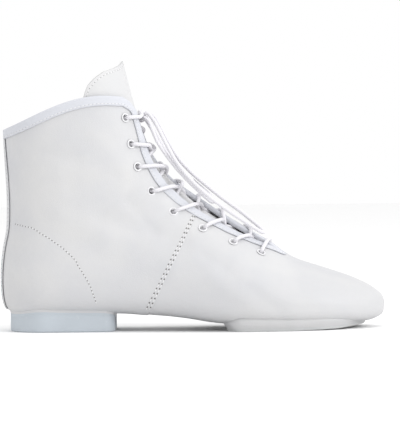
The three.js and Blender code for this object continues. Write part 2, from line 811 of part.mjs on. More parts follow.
function tongueSolid() {
  const footPosition = readTopLine(throatLength + tongueFoot, 'run', 'position');
  const inShaft = [footPosition, ...rows.filter((position) => position > footPosition + fixedMargin)];
  const risingShares = [0.3, 0.65, 1];
  const places = (depth) => {
    const table = inShaft.map((position) => {
      const along = alongOf(position);
      const half = tongueHalfWidth * (1 - tongueNarrowing * Math.min(along, 1) ** tongueNarrowingPower);
      const middle = throatAt(along).middle;
      return acrossTongue((across) => facetPoint(position, middle - across * half, -depth));
    });
    const low = table[table.length - 1];
    const upward = acrossTongue((across) => {
      const from = facetPoint(tapeCollarPosition, -across * tongueHalfWidth, -depth);
      return facetPoint(lastSection, -across * tongueHalfWidth, -depth).sub(from).normalize();
    });
    const rising = risingShares.map((share) =>
      low.map((point, k) => {
        const across = Math.abs(tongueShare(k));
        return point.clone().addScaledVector(upward[k], share * tongueRise(across));
      }),
    );
    return [...table, ...rising];
  };
  const faces = shell();
  const outer = places(tongueDepth);
  const inner = places(tongueDepth + tongueThickness);
  const last = outer.length - 1;
  for (let row = 0; row < last; row += 1) {
    for (let k = 0; k < tongueColumns; k += 1) {
      faces.quad(outer[row][k + 1], outer[row + 1][k + 1], outer[row + 1][k], outer[row][k]);
      faces.quad(inner[row][k + 1], inner[row][k], inner[row + 1][k], inner[row + 1][k + 1]);
    }
    faces.quad(outer[row][0], outer[row + 1][0], inner[row + 1][0], inner[row][0]);
    const end = tongueColumns;
    faces.quad(outer[row][end], inner[row][end], inner[row + 1][end], outer[row + 1][end]);
  }
  for (let k = 0; k < tongueColumns; k += 1) {
    faces.quad(outer[last][k], outer[last][k + 1], inner[last][k + 1], inner[last][k]);
    faces.quad(outer[0][k], inner[0][k], inner[0][k + 1], outer[0][k + 1]);
  }
  return toSolid(faces.geometry());
}

function tongueShare(k) {
  return (2 * k) / tongueColumns - 1;
}

function acrossTongue(make) {
  return Array.from({ length: tongueColumns + 1 }, (_, k) => make(tongueShare(k)));
}

// The tape: a closed ring of folded tape along both throat edges and the collar. Each place on its path
// has a corner on the edge and one a tape's width into the leather.
const tapeRow = rows.indexOf(tapeCollarPosition);
const collarRow = rows.length - 1;
const throatRow = rows.indexOf(throatFootPosition);
const belowThroatRow = rows.indexOf(tapeFootPosition);
const lastColumn = columnCount - 1;

function tapePath() {
  const path = [];
  const foot = [belowThroatRow, 0];
  for (let row = throatRow + 1; row <= collarRow; row += 1) {
    path.push({ edge: [row, 0], leg: [Math.min(row, tapeRow), 1] });
  }
  for (let column = 1; column < lastColumn; column += 1) {
    path.push({ edge: [collarRow, column], leg: [tapeRow, column], onCollar: true });
  }
  for (let row = collarRow; row > throatRow; row -= 1) {
    path.push({ edge: [row, lastColumn], leg: [Math.min(row, tapeRow), lastColumn - 1] });
  }
  for (const leg of [[throatRow, lastColumn - 1], foot, [throatRow, 1]]) {
    path.push({ edge: [throatRow, 0], leg, away: foot });
  }
  return path;
}

function tapeSection({ edge, leg, away }) {
  const top = tapeReach;
  const under = -wall - tapeReach;
  const outward = gridPoint(...edge, 0).sub(gridPoint(...(away ?? leg), 0)).normalize();
  const corner = edge[0] === collarRow && edge[1] % lastColumn === 0;
  const stretch = corner ? Math.SQRT2 : 1;
  const beyond = (offset, reach) => gridPoint(...edge, offset).addScaledVector(outward, reach * stretch);
  return [
    gridPoint(...leg, top),
    beyond(top, tapeReach),
    beyond(under, tapeReach),
    gridPoint(...leg, under),
    gridPoint(...leg, -wall - clearance),
    beyond(-wall - clearance, clearance),
    beyond(clearance, clearance),
    gridPoint(...leg, clearance),
  ];
}

// Its faces are split along the same diagonals as the leather between them
function tapeSolid() {
  const path = tapePath();
  const loops = path.map(tapeSection);
  const faces = shell();
  loops.forEach((loop, index) => {
    const next = loops[(index + 1) % loops.length];
    loop.forEach((corner, k) => {
      const follow = (k + 1) % loop.length;
      const fromLeg = k % 4 === 0;
      if (fromLeg === Boolean(path[index].onCollar)) faces.quad(corner, loop[follow], next[follow], next[k]);
      else faces.quad(loop[follow], next[follow], next[k], corner);
    });
  });
  return toSolid(faces.geometry());
}

// The strip over the back seam, from under the collar's tape to just above the heel
function stripSolid() {
  const lowest = seatTop + stripFoot;
  const heelRow = rows.findIndex((position) => outerPoint(position, outlineAt(position).keel).z > lowest);
  const low = clearance;
  const high = clearance + stripThickness;
  const step = gridPoint(tapeRow, keelColumn, 0).distanceTo(gridPoint(tapeRow - 1, keelColumn, 0));
  const columns = [keelColumn - 1, keelColumn, keelColumn + 1];
  const bands = [];
  for (let row = heelRow; row < tapeRow; row += 1) {
    bands.push((column, offset) => gridPoint(row, column, offset));
  }
  bands.push((column, offset) =>
    gridPoint(tapeRow, column, offset).lerp(gridPoint(tapeRow - 1, column, offset), clearance / step),
  );
  const faces = shell();
  for (let band = 0; band < bands.length - 1; band += 1) {
    const from = bands[band];
    const to = bands[band + 1];
    for (const column of columns.slice(0, 2)) {
      faces.quad(from(column, high), to(column, high), to(column + 1, high), from(column + 1, high));
      faces.quad(from(column, low), from(column + 1, low), to(column + 1, low), to(column, low));
    }
    faces.quad(from(columns[0], high), from(columns[0], low), to(columns[0], low), to(columns[0], high));
    faces.quad(from(columns[2], low), from(columns[2], high), to(columns[2], high), to(columns[2], low));
  }
  const foot = bands[0];
  const head = bands[bands.length - 1];
  for (const column of columns.slice(0, 2)) {
    faces.quad(foot(column, high), foot(column + 1, high), foot(column + 1, low), foot(column, low));
    faces.quad(head(column, high), head(column, low), head(column + 1, low), head(column + 1, high));
  }
  return toSolid(faces.geometry());
}

// Lace: a round cord along a smooth curve through its points
function cordGeometry(points, radius, sides, steps) {
  const corners = Array.from({ length: sides }, (_, k) => {
    const angle = (2 * Math.PI * k) / sides;
    return new THREE.Vector2(radius * Math.cos(angle), radius * Math.sin(angle));
  });
  const extrudePath = new THREE.CatmullRomCurve3(points);
  const options = { steps, bevelEnabled: false, extrudePath };
  return closed(new THREE.ExtrudeGeometry(new THREE.Shape(corners), options));
}

function legPoint(along, distance, offset) {
  return skin(positionAlong(along), distance, offset);
}

// One leg of a crossing, from over its eyelet across its own edge and down into the throat
function legPoints(side, from, to) {
  const sign = side === 'lateral' ? 1 : -1;
  const start = throatAt(from);
  const end = throatAt(to);
  const startDistance = start.middle + sign * (start.half + eyeletInset);
  const endDistance = end.middle - sign * Math.max(end.half - edgeRoom, laceRadius);
  const points = [];
  for (let i = 0; i <= legSteps; i += 1) {
    const share = i / legSteps;
    const along = lerp(from, to, share);
    const throat = throatAt(along);
    const distance = lerp(startDistance, endDistance, share);
    const past = throat.half - sign * (distance - throat.middle);
    const drop = Math.max(past - 2 * edgeRoom, 0) * legSlope;
    points.push(legPoint(along, distance, Math.max(laceLift - drop, laceDip)));
  }
  return points;
}

// One leg of the top crossing, which passes under both edges and shows only over the tongue
function innerLegPoints(side, from, to) {
  const sign = side === 'lateral' ? 1 : -1;
  const points = [];
  const hidden = eyeletInset / (2 * (eyeletInset + throatAt(from).half));
  for (const share of [0, 0.5, 1]) {
    const along = lerp(from, to, lerp(hidden, 1 - hidden, share));
    const throat = throatAt(along);
    const distance = throat.middle + sign * lerp(1, -1, share) * (throat.half - edgeRoom);
    points.push(legPoint(along, distance, laceDip));
  }
  return points;
}

function crossingSolid(index) {
  const pair = eyeletPairs[index];
  const next = eyeletPairs[index + 1];
  const last = index === eyeletPairs.length - 2;
  const route = index === 0 ? innerLegPoints : legPoints;
  const legs = [
    route('lateral', pair.lateral, last ? lastMeeting : next.medial),
    route('medial', pair.medial, last ? lastMeeting : next.lateral),
  ];
  const [first, second] = legs.map((points) => toSolid(cordGeometry(points, laceRadius, legSides, legSteps)));
  return first.add(second);
}

// The straight bar over the bottom pair of eyelets
function barSolid() {
  const pair = eyeletPairs[eyeletPairs.length - 1];
  const low = throatAt(pair.lateral);
  const high = throatAt(pair.medial);
  const from = low.middle + low.half + eyeletInset;
  const to = high.middle - high.half - eyeletInset;
  const points = [];
  for (let i = 0; i <= legSteps; i += 1) {
    const share = i / legSteps;
    points.push(legPoint(lerp(pair.lateral, pair.medial, share), lerp(from, to, share), laceLift));
  }
  return toSolid(cordGeometry(points, laceRadius, legSides, legSteps));
}

// The top legs, from the first eyelets to the two sides of the knot
const knotCentre = sectionAt(lastSection).head.add(new THREE.Vector3(knotAhead, 0, -knotBelow));

function tieSolid(side) {
  const sign = side === 'lateral' ? 1 : -1;
  const along = eyeletPairs[0][side];
  const throat = throatAt(along);
  const edge = throat.middle + sign * throat.half;
  const points = [
    legPoint(along, edge + sign * eyeletInset, laceLift),
    legPoint(along, edge + (sign * eyeletInset) / 2, laceLift),
    legPoint(along, edge, laceLift),
    legPoint(along, edge - sign * (tapeReach + laceRadius), laceLift - clearance),
    knotCentre.clone().add(new THREE.Vector3(0, -sign * (knotWidth / 2 + 2 * clearance), 0)),
  ];
  return toSolid(cordGeometry(points, laceRadius, legSides, legSteps));
}

function knotGeometry() {
  const ball = new THREE.SphereGeometry(0.5, knotSides, knotRings);
  ball.scale(knotDepth, knotWidth, knotHeight);
  return closed(ball.translate(knotCentre.x, knotCentre.y, knotCentre.z));
}

// The bow hangs down the front: routes of its two loops and two ends, measured from the knot's middle
const longLoop = [
  [4.2, 1.7, 1.7], [7.2, 3.6, 0.2], [10.2, 4.8, -4.2], [13.6, 5.2, -10.8], [17.2, 5.2, -17.6],
  [21.0, 5.2, -24.2], [25.2, 5.2, -30.2], [30.0, 5.2, -35.6], [35.2, 5.0, -40.6], [40.8, 4.6, -45.4],
  [46.6, 3.8, -50.2], [52.6, 2.6, -55.0], [58.8, 1.2, -59.6], [65.0, 0.0, -64.2], [70.8, -1.2, -69.0],
  [76.0, -3.0, -73.4], [79.0, -7.2, -76.6], [77.2, -11.4, -76.6], [72.6, -13.2, -73.8], [66.6, -13.2, -69.8],
  [60.0, -12.6, -65.4], [53.4, -11.6, -60.8], [47.2, -10.8, -56.2], [41.4, -10.4, -51.4], [36.0, -10.4, -46.4],
  [30.8, -10.6, -41.0], [26.0, -10.6, -35.2], [21.8, -10.2, -29.2], [18.2, -9.2, -22.8], [14.8, -7.8, -16.2],
  [11.6, -6.4, -9.6], [8.2, -4.8, -3.4], [4.4, -2.0, 1.2],
];
const shortLoop = [
  [2.1, 4.3, -1.3], [5.3, 7.6, -4.3], [7.3, 9.0, -8.5], [9.7, 9.0, -14.1], [13.5, 8.4, -20.7],
  [17.7, 7.8, -26.9], [22.5, 7.4, -32.7], [27.7, 7.2, -37.9], [33.1, 6.8, -42.9], [38.5, 5.8, -47.7],
  [43.7, 3.8, -52.3], [47.1, -0.4, -56.1], [45.3, -5.0, -56.9], [40.3, -6.8, -52.9], [34.7, -7.0, -47.5],
  [29.1, -7.4, -41.9], [23.9, -7.8, -36.1], [19.1, -8.0, -30.1], [14.7, -8.0, -23.9], [10.5, -8.0, -17.3],
  [7.5, -8.2, -10.3], [5.3, -7.2, -4.5], [2.1, -4.3, -1.5],
];
const longEnd = [
  [3.8, 1.2, -2.1], [6.8, 1.4, -7.6], [10.2, 1.3, -14.0], [13.8, 1.2, -20.2], [17.8, 1.0, -26.2],
  [22.4, 0.8, -32.0], [27.4, 0.8, -37.4], [32.6, 0.8, -42.6],
];
const shortEnd = [
  [2.7, -2.1, -2.4], [6.4, -3.0, -8.2], [9.8, -3.1, -14.6], [13.4, -3.2, -20.8], [17.4, -3.4, -26.8],
  [21.8, -3.6, -32.4],
];

function strandGeometry(route) {
  const points = route.map((place) => new THREE.Vector3(...place).add(knotCentre));
  const length = new THREE.CatmullRomCurve3(points).getLength();
  return cordGeometry(points, laceRadius, strandSides, Math.ceil(length / (6 * laceRadius)));
}

// Finishes, each with its own colour
const leather = { color: 0xdedee0, roughness: 0.5, metalness: 0 };
const tape = { color: 0xdcdfe8, roughness: 0.75, metalness: 0 };
const lining = { color: 0xe6e4de, roughness: 0.85, metalness: 0 };
const rubber = { color: 0xc2c8ca, roughness: 0.7, metalness: 0 };
const enamel = { color: 0xe9eaee, roughness: 0.3, metalness: 0.2 };
const lace = { color: 0xe3e2e6, roughness: 0.9, metalness: 0 };

const boot = new THREE.Group();

function addPiece(name, geometry, finish) {
  const mesh = new THREE.Mesh(geometry, new THREE.MeshStandardMaterial(finish));
  mesh.name = name;
  boot.add(mesh);
}

addPiece('upper', toGeometry(upperSolid()), leather);
addPiece('insole', toGeometry(insoleSolid()), lining);
addPiece('heel', toGeometry(heelSolid()), rubber);
addPiece('forefoot_sole', toGeometry(padSolid()), rubber);
addPiece('tongue', toGeometry(tongueSolid()), leather);
addPiece('collar_binding', toGeometry(tapeSolid()), tape);
addPiece('back_strip', toGeometry(stripSolid()), leather);
for (const eyelet of eyelets) {
  addPiece(`eyelet_${eyelet.side}_${eyelet.number}`, placed(eyeletGeometry(), eyelet), enamel);
}

for (let index = 0; index < eyeletPairs.length - 1; index += 1) {
  addPiece(`lace_crossing_${index + 1}`, toGeometry(crossingSolid(index)), lace);
}
addPiece('lace_bar', toGeometry(barSolid()), lace);
addPiece('lace_tie_lateral', toGeometry(tieSolid('lateral')), lace);
addPiece('lace_tie_medial', toGeometry(tieSolid('medial')), lace);
addPiece('lace_knot', knotGeometry(), lace);
addPiece('lace_loop_long', strandGeometry(longLoop), lace);
addPiece('lace_loop_short', strandGeometry(shortLoop), lace);
addPiece('lace_end_long', strandGeometry(longEnd), lace);
addPiece('lace_end_short', strandGeometry(shortEnd), lace);

export default boot;
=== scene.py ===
import math

import bmesh
import bpy
import numpy as np
from mathutils import Matrix, Vector


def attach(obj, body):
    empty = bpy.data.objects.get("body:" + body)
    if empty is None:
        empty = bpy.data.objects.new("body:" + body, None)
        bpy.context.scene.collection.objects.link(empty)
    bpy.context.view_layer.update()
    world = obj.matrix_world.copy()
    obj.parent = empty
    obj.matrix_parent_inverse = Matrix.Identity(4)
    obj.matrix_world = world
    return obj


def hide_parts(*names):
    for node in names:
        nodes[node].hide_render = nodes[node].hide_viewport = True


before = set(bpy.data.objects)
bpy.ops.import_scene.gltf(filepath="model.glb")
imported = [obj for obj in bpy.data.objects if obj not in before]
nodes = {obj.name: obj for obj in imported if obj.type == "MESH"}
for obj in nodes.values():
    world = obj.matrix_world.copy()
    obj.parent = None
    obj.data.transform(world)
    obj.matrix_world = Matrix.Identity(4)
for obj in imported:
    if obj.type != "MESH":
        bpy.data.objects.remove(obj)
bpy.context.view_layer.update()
print("frame loaded:", len(nodes), "nodes")

# Camera at the photo's angle, level with the collar and rolled a little
cameraView = {
    "aim": (0.0902, 0.0, 0.0757),
    "place": (0.0902, -2.2, 0.140),
    "lens": 284.3,
    "roll": -0.65,  # degrees, the ground line climbs a little to the right
}


def makeCamera(view):
    camera = bpy.data.objects.new("photoCamera", bpy.data.cameras.new("photoCamera"))
    bpy.context.scene.collection.objects.link(camera)
    sight = (Vector(view["aim"]) - Vector(view["place"])).to_track_quat("-Z", "Y")
    turn = sight.to_matrix().to_4x4() @ Matrix.Rotation(math.radians(view["roll"]), 4, "Z")
    camera.matrix_world = Matrix.Translation(view["place"]) @ turn
    camera.data.lens = view["lens"]
    camera.data.clip_end = 20
    bpy.context.scene.camera = camera


makeCamera(cameraView)


def buildMesh(name, points, quads, material, uv=None):
    # A piece from points in millimetres and corner numbers four to a face, laid straight into the frame
    quads = np.asarray(quads, int)
    points = np.asarray(points, float).reshape(-1, 3) * 0.001
    mesh = bpy.data.meshes.new(name)
    mesh.vertices.add(len(points))
    mesh.vertices.foreach_set("co", points.astype(np.float32).ravel())
    mesh.loops.add(quads.size)
    mesh.loops.foreach_set("vertex_index", quads.ravel().astype(np.int32))
    mesh.polygons.add(len(quads))
    mesh.polygons.foreach_set("loop_start", np.arange(0, quads.size, 4, dtype=np.int32))
    mesh.polygons.foreach_set("use_smooth", np.ones(len(quads), bool))
    mesh.update(calc_edges=True)
    if uv is not None:
        layer = mesh.uv_layers.new(name="UVMap")
        layer.data.foreach_set("uv", np.asarray(uv, np.float32).reshape(-1, 2)[quads.ravel()].ravel())
    mesh.materials.append(material)
    piece = bpy.data.objects.new(name, mesh)
    bpy.context.scene.collection.objects.link(piece)
    return piece


def gridQuads(rows, columns, closedRows=False, closedColumns=False, start=0, turned=False):
    # Faces of a grid of points: each joins a point, the next row's, that row's next column's and its own
    i = np.arange(rows if closedRows else rows - 1)
    j = np.arange(columns if closedColumns else columns - 1)
    i, j = (axis.ravel() for axis in np.meshgrid(i, j, indexing="ij"))
    down, across = (i + 1) % rows, (j + 1) % columns
    cells = np.stack([i * columns + j, down * columns + j, down * columns + across, i * columns + across], 1)
    return (cells[:, ::-1] if turned else cells) + start


def unit(vectors):
    return vectors / np.maximum(np.linalg.norm(vectors, axis=-1, keepdims=True), 1e-9)


def runAlong(points):
    # Distance run along a line of points
    return np.concatenate([[0], np.cumsum(np.linalg.norm(np.diff(points, axis=0), axis=1))])


def resample(points, step=None, count=None):
    # The same line with its points an equal step apart
    run = runAlong(points)
    count = count or max(int(round(run[-1] / step)) + 1, 2)
    at = np.linspace(0, run[-1], count)
    return np.stack([np.interp(at, run, points[:, k]) for k in range(points.shape[1])], 1)


# Shader maths as plain expressions
class Wire:
    def __init__(self, finish, socket):
        self.finish, self.socket = finish, socket

    def maths(self, operation, first, second):
        return self.finish.node("ShaderNodeMath", {"operation": operation}, {0: first, 1: second})

    def __add__(self, other):
        return self.maths("ADD", self, other)

    def __radd__(self, other):
        return self.maths("ADD", other, self)

    def __sub__(self, other):
        return self.maths("SUBTRACT", self, other)

    def __rsub__(self, other):
        return self.maths("SUBTRACT", other, self)

    def __mul__(self, other):
        return self.maths("MULTIPLY", self, other)

    def __rmul__(self, other):
        return self.maths("MULTIPLY", other, self)

    def __pow__(self, other):
        return self.maths("POWER", self, other)

    def least(self, other):
        return self.maths("MINIMUM", self, other)

    def most(self, other):
        return self.maths("MAXIMUM", self, other)

    def sine(self):
        return self.maths("SINE", self, 0)

    def clamp(self):
        return self.most(0.0).least(1.0)


bumpDepth = 0.001  # metres for a height of one


class Finish:
    def __init__(self, name):
        self.material = bpy.data.materials.new(name)
        self.material.use_nodes = True
        self.tree = self.material.node_tree
        self.tree.nodes.clear()
        self.output = self.tree.nodes.new("ShaderNodeOutputMaterial")

    def node(self, kind, settings, values, output=0):
        # A node of one kind: first its settings, then a value or a link for each socket
        made = self.tree.nodes.new(kind)
        for key, value in settings.items():
            setattr(made, key, value)
        for key, value in values.items():
            if isinstance(value, Wire):
                self.tree.links.new(value.socket, made.inputs[key])
            else:
                made.inputs[key].default_value = value
        return Wire(self, made.outputs[output])

    def place(self):
        return self.node("ShaderNodeTexCoord", {}, {}, "Object")

    def axis(self, vector, number):
        return self.node("ShaderNodeSeparateXYZ", {}, {0: vector}, number)

    def ownMap(self):
        # The piece's own u and v
        both = self.node("ShaderNodeUVMap", {"uv_map": "UVMap"}, {})
        return self.axis(both, 0), self.axis(both, 1)

    def noise(self, scale, detail=2.0, rough=0.5, where=None):
        values = {"Vector": where or self.place(), "Scale": scale, "Detail": detail, "Roughness": rough}
        return self.node("ShaderNodeTexNoise", {}, values)

    def blend(self, share, first, second):
        # From the first colour at a share of 0 to the second at 1
        first, second = ((*tone, 1) if isinstance(tone, tuple) else tone for tone in (first, second))
        settings = {"data_type": "RGBA", "blend_type": "MIX"}
        return self.node("ShaderNodeMix", settings, {0: share, 6: first, 7: second}, 2)

    def bump(self, height, strength):
        values = {"Height": height, "Distance": bumpDepth, "Strength": strength}
        return self.node("ShaderNodeBump", {}, values)

    def surface(self, **values):
        names = {key.replace("_", " "): value for key, value in values.items()}
        shader = self.node("ShaderNodeBsdfPrincipled", {}, names)
        self.tree.links.new(shader.socket, self.output.inputs["Surface"])
        return self.material


# Finishes. Scales are per metre: a scale of 1000 repeats about every millimetre.
leatherLook = {
    "colour": (0.612, 0.610, 0.612), "shade": (0.553, 0.557, 0.578), "rub": (0.523, 0.523, 0.536),
    # The low tone is painted shade: the leather darkened towards the sole, strongest near the floor
    "low": (0.515, 0.513, 0.518), "paintedShadeTop": 0.042, "paintedShadeFade": 30.0, "paintedShadeShare": 0.5,
    "drift": 14, "cloud": 38, "driftShare": 0.6, "toneFrom": 0.38, "toneGain": 4.0,
    "pebble": 1150, "pebbleDepth": 0.055, "pebbleGain": 4.0, "pebblePower": 0.6, "rubShare": 0.16,
    "pore": 3600, "poreDepth": 0.015, "warp": 420, "warpDepth": 0.05, "driftDepth": 0.35,
    "bend": 500.0, "bendBy": 0.0009, "gloss": 0.46, "glossDrift": 0.10, "glossPebble": 0.05,
}


def leatherFinish(name, look, grain=1.0):
    # Pebbles are the distance to the edges of warped cells. The tone drifts slowly from colour to shade,
    # darkens between the pebbles and deepens towards the sole as painted shade.
    f = Finish(name)
    place = f.place()
    drift = f.noise(look["drift"], 3, 0.55, place)
    warp = f.noise(look["warp"], 2, 0.5, place)
    bend = f.node("ShaderNodeTexNoise", {}, {"Vector": place, "Scale": look["bend"]}, 1)
    where = f.node("ShaderNodeVectorMath", {"operation": "MULTIPLY_ADD"},
                   {0: bend, 1: (look["bendBy"],) * 3, 2: place})
    cells = f.node("ShaderNodeTexVoronoi", {"feature": "DISTANCE_TO_EDGE"},
                   {"Vector": where, "Scale": look["pebble"]}, "Distance")
    pebble = (cells * look["pebbleGain"]).least(1.0) ** look["pebblePower"]
    pores = f.noise(look["pore"], 2, 0.6, place)
    height = (pebble * (look["pebbleDepth"] * grain) + pores * (look["poreDepth"] * grain)
              + warp * look["warpDepth"] + drift * look["driftDepth"])
    cloud = f.noise(look["cloud"], 3, 0.6, place)
    mixed = drift * look["driftShare"] + cloud * (1 - look["driftShare"])
    tone = f.blend(((mixed - look["toneFrom"]) * look["toneGain"]).clamp(), look["colour"], look["shade"])
    tone = f.blend((1 - pebble) * look["rubShare"], tone, look["rub"])
    # Painted shade: darker towards the sole, fading out above the top height
    low = ((look["paintedShadeTop"] - f.axis(place, 2)) * look["paintedShadeFade"]).clamp()
    tone = f.blend(low * look["paintedShadeShare"], tone, look["low"])
    rough = look["gloss"] + drift * look["glossDrift"] - pebble * look["glossPebble"]
    return f.surface(Base_Color=tone, Roughness=rough, Normal=f.bump(height, 0.9),
                     Coat_Weight=0.12, Coat_Roughness=0.42, Specular_IOR_Level=0.42)


tongueLook = {**leatherLook, "colour": (0.640, 0.638, 0.636), "shade": (0.605, 0.605, 0.612)}
stripLook = {**leatherLook, "colour": (0.615, 0.617, 0.63)}
smoother = 0.8  # share of the upper's grain on tongue and back strip
upperLeather = leatherFinish("whiteGrainLeather", leatherLook)
tongueLeather = leatherFinish("tongueLeather", tongueLook, smoother)
stripLeather = leatherFinish("stripLeather", stripLook, smoother)

liningLook = {"colour": (0.80, 0.785, 0.75), "shade": (0.72, 0.705, 0.67), "nap": 2600, "napDepth": 0.06,
              "drift": 22, "driftDepth": 0.2, "toneFrom": 0.35, "toneGain": 2, "gloss": 0.86}


def liningFinish(look):
    # Smooth pale lining leather with a faint suede nap
    f = Finish("liningLeather")
    place = f.place()
    nap = f.noise(look["nap"], 3, 0.7, place)
    drift = f.noise(look["drift"], 2, 0.5, place)
    tone = f.blend(((drift - look["toneFrom"]) * look["toneGain"]).clamp(), look["colour"], look["shade"])
    height = nap * look["napDepth"] + drift * look["driftDepth"]
    return f.surface(Base_Color=tone, Roughness=look["gloss"] + nap * look["napDepth"],
                     Normal=f.bump(height, 0.8), Sheen_Weight=0.12, Specular_IOR_Level=0.2)


lining = liningFinish(liningLook)

tapeLook = {"colour": (0.655, 0.667, 0.705), "dark": (0.59, 0.602, 0.645), "along": 0.55, "across": 0.7,
            "depth": 0.09, "liftGain": 1.1, "fuzz": 5200, "fuzzDepth": 0.02, "gloss": 0.82, "glossFuzz": 0.08}


def wovenFinish(name, look):
    # Plain weave: the square of two crossed sines, u across and v along, both in millimetres
    f = Finish(name)
    u, v = f.ownMap()
    wave = (u * (math.pi / look["across"])).sine() * (v * (math.pi / look["along"])).sine()
    lift = wave * wave
    fuzz = f.noise(look["fuzz"], 2, 0.6)
    tone = f.blend((lift * look["liftGain"]).least(1.0), look["dark"], look["colour"])
    return f.surface(Base_Color=tone, Roughness=look["gloss"] + fuzz * look["glossFuzz"],
                     Normal=f.bump(lift * look["depth"] + fuzz * look["fuzzDepth"], 0.9),
                     Sheen_Weight=0.15, Specular_IOR_Level=0.25)


tapeCloth = wovenFinish("wovenTape", tapeLook)

laceLook = {"colour": (0.79, 0.78, 0.81), "dark": (0.63, 0.62, 0.655), "pitch": 2.1, "strands": 6,
            "depth": 0.12, "liftPower": 1.5, "fuzz": 6000, "fuzzDepth": 0.03, "gloss": 0.80, "glossFuzz": 0.1}


def braidFinish(name, look):
    # Two sets of slanting strands, the higher of two sines: u once round the cord, v in mm along it
    f = Finish(name)
    u, v = f.ownMap()
    turn, run = u * (2 * math.pi * look["strands"]), v * (2 * math.pi / look["pitch"])
    left, right = (turn + run).sine(), (turn - run).sine()
    lift = (left * 0.5 + 0.5).most(right * 0.5 + 0.5)
    fuzz = f.noise(look["fuzz"], 2, 0.6)
    tone = f.blend(lift ** look["liftPower"], look["dark"], look["colour"])
    return f.surface(Base_Color=tone, Roughness=look["gloss"] + fuzz * look["glossFuzz"],
                     Normal=f.bump(lift * look["depth"] + fuzz * look["fuzzDepth"], 0.9),
                     Sheen_Weight=0.25, Specular_IOR_Level=0.25)


laceCord = braidFinish("braidedLace", laceLook)

# Two tones blended by one fine noise, for what is too small to show more
threadLook = {"first": (0.72, 0.715, 0.71), "second": (0.82, 0.82, 0.825), "scale": 4200, "detail": 2,
              "rough": 0.5, "gloss": 0.62, "glossNoise": 0.1, "depth": 0.05, "strength": 0.8}
# The needle holes' near-black tones are painted shade, the shadow down in each hole
holeShadeLook = {"first": (0.10, 0.095, 0.09), "second": (0.16, 0.155, 0.15), "scale": 3000, "detail": 1,
            "rough": 0.5, "gloss": 0.9, "glossNoise": 0.05, "depth": 0, "strength": 0}
enamelLook = {"first": (0.72, 0.72, 0.735), "second": (0.66, 0.66, 0.675), "scale": 900, "detail": 3,
              "rough": 0.6, "gloss": 0.24, "glossNoise": 0.14, "depth": 0.02, "strength": 0.5}


def plainFinish(name, look, **coat):
    f = Finish(name)
    grain = f.noise(look["scale"], look["detail"], look["rough"])
    if look["depth"]:
        coat["Normal"] = f.bump(grain * look["depth"], look["strength"])
    return f.surface(Base_Color=f.blend(grain, look["first"], look["second"]),
                     Roughness=look["gloss"] + grain * look["glossNoise"], **coat)


thread = plainFinish("sewingThread", threadLook)
needleHoleShade = plainFinish("needleHoleShade", holeShadeLook)
enamel = plainFinish("eyeletEnamel", enamelLook, Coat_Weight=0.4, Coat_Roughness=0.15)

rubberLook = {
    "colour": (0.495, 0.538, 0.580), "shade": (0.450, 0.490, 0.530), "scuff": (0.59, 0.62, 0.65),
    "drift": 35, "stipple": 2400, "rub": 160, "toneFrom": 0.35, "toneGain": 2.2, "rubFrom": 0.60,
    "rubGain": 4, "rubMost": 0.5, "stippleDepth": 0.05, "rubDepth": 0.04, "gloss": 0.68, "glossStipple": 0.12,
}
padLook = {**rubberLook, "colour": (0.56, 0.57, 0.57), "shade": (0.51, 0.52, 0.525),
           "scuff": (0.62, 0.63, 0.63)}


def rubberFinish(name, look):
    # Matt moulded rubber: fine stipple, slow tone drift and paler rubbed spots
    f = Finish(name)
    place = f.place()
    drift = f.noise(look["drift"], 3, 0.6, place)
    stipple = f.noise(look["stipple"], 2, 0.65, place)
    rub = f.noise(look["rub"], 4, 0.7, place)
    tone = f.blend(((drift - look["toneFrom"]) * look["toneGain"]).clamp(), look["colour"], look["shade"])
    rubbed = ((rub - look["rubFrom"]) * look["rubGain"]).most(0.0).least(look["rubMost"])
    tone = f.blend(rubbed, tone, look["scuff"])
    height = stipple * look["stippleDepth"] + rub * look["rubDepth"]
    return f.surface(Base_Color=tone, Roughness=look["gloss"] + stipple * look["glossStipple"],
                     Normal=f.bump(height, 0.9), Specular_IOR_Level=0.35)


soleRubber = rubberFinish("paleSoleRubber", rubberLook)
padRubber = rubberFinish("palePadRubber", padLook)
print("finishes made")

# The last, as in the part's source: sections from the toe tip back, round the heel and up the shaft
size = {
    "length": 250.7, "heelBulge": 39.9, "halfBall": 44.0, "halfHeel": 30.5, "vampHeight": 58.8,
    "collarBack": 131.0, "collarFront": 150.5, "collarBow": 8.0, "toeTip": 15.4,
    "soleTop": 3.8, "seatTop": 11.3, "wall": 1.6, "bowLean": 1.25,
}
toeRows = {
    "sole": [1.0, 0.996, 0.986, 0.967, 0.939, 0.897, 0.833, 0.761, 0.698],
    "top": [1.0, 0.995, 0.984, 0.961, 0.931, 0.891, 0.833, 0.763, 0.702],
    "lift": [1.0, 0.5, 0.29, 0.12, 0.02, 0, 0, 0, 0],
    "height": [0.262, 0.337, 0.391, 0.463, 0.527, 0.595, 0.677, 0.782, 0.952],
    "lateral": [-0.16, -0.01, 0.14, 0.33, 0.49, 0.66, 0.83, 0.95, 1.0],
    "medial": [0.16, 0.31, 0.43, 0.58, 0.69, 0.82, 0.93, 0.99, 0.99],
    "keel": [0.16, 0.16, 0.14, 0.12, 0.1, 0.08, 0.05, 0.02, 0],
    "ridge": [0.16, 0.16, 0.17, 0.18, 0.19, 0.2, 0.21, 0.21, 0.21],
    "wide": [0.5, 0.5, 0.46, 0.43, 0.4, 0.37, 0.34, 0.31, 0.28],
    "under": [2, 2, 2.2, 2.6, 3, 3.3, 3.6, 3.7, 3.7],
    "over": [2.0, 2.0, 2.0, 2.0, 2.0, 1.95, 1.9, 1.9, 1.9],
}
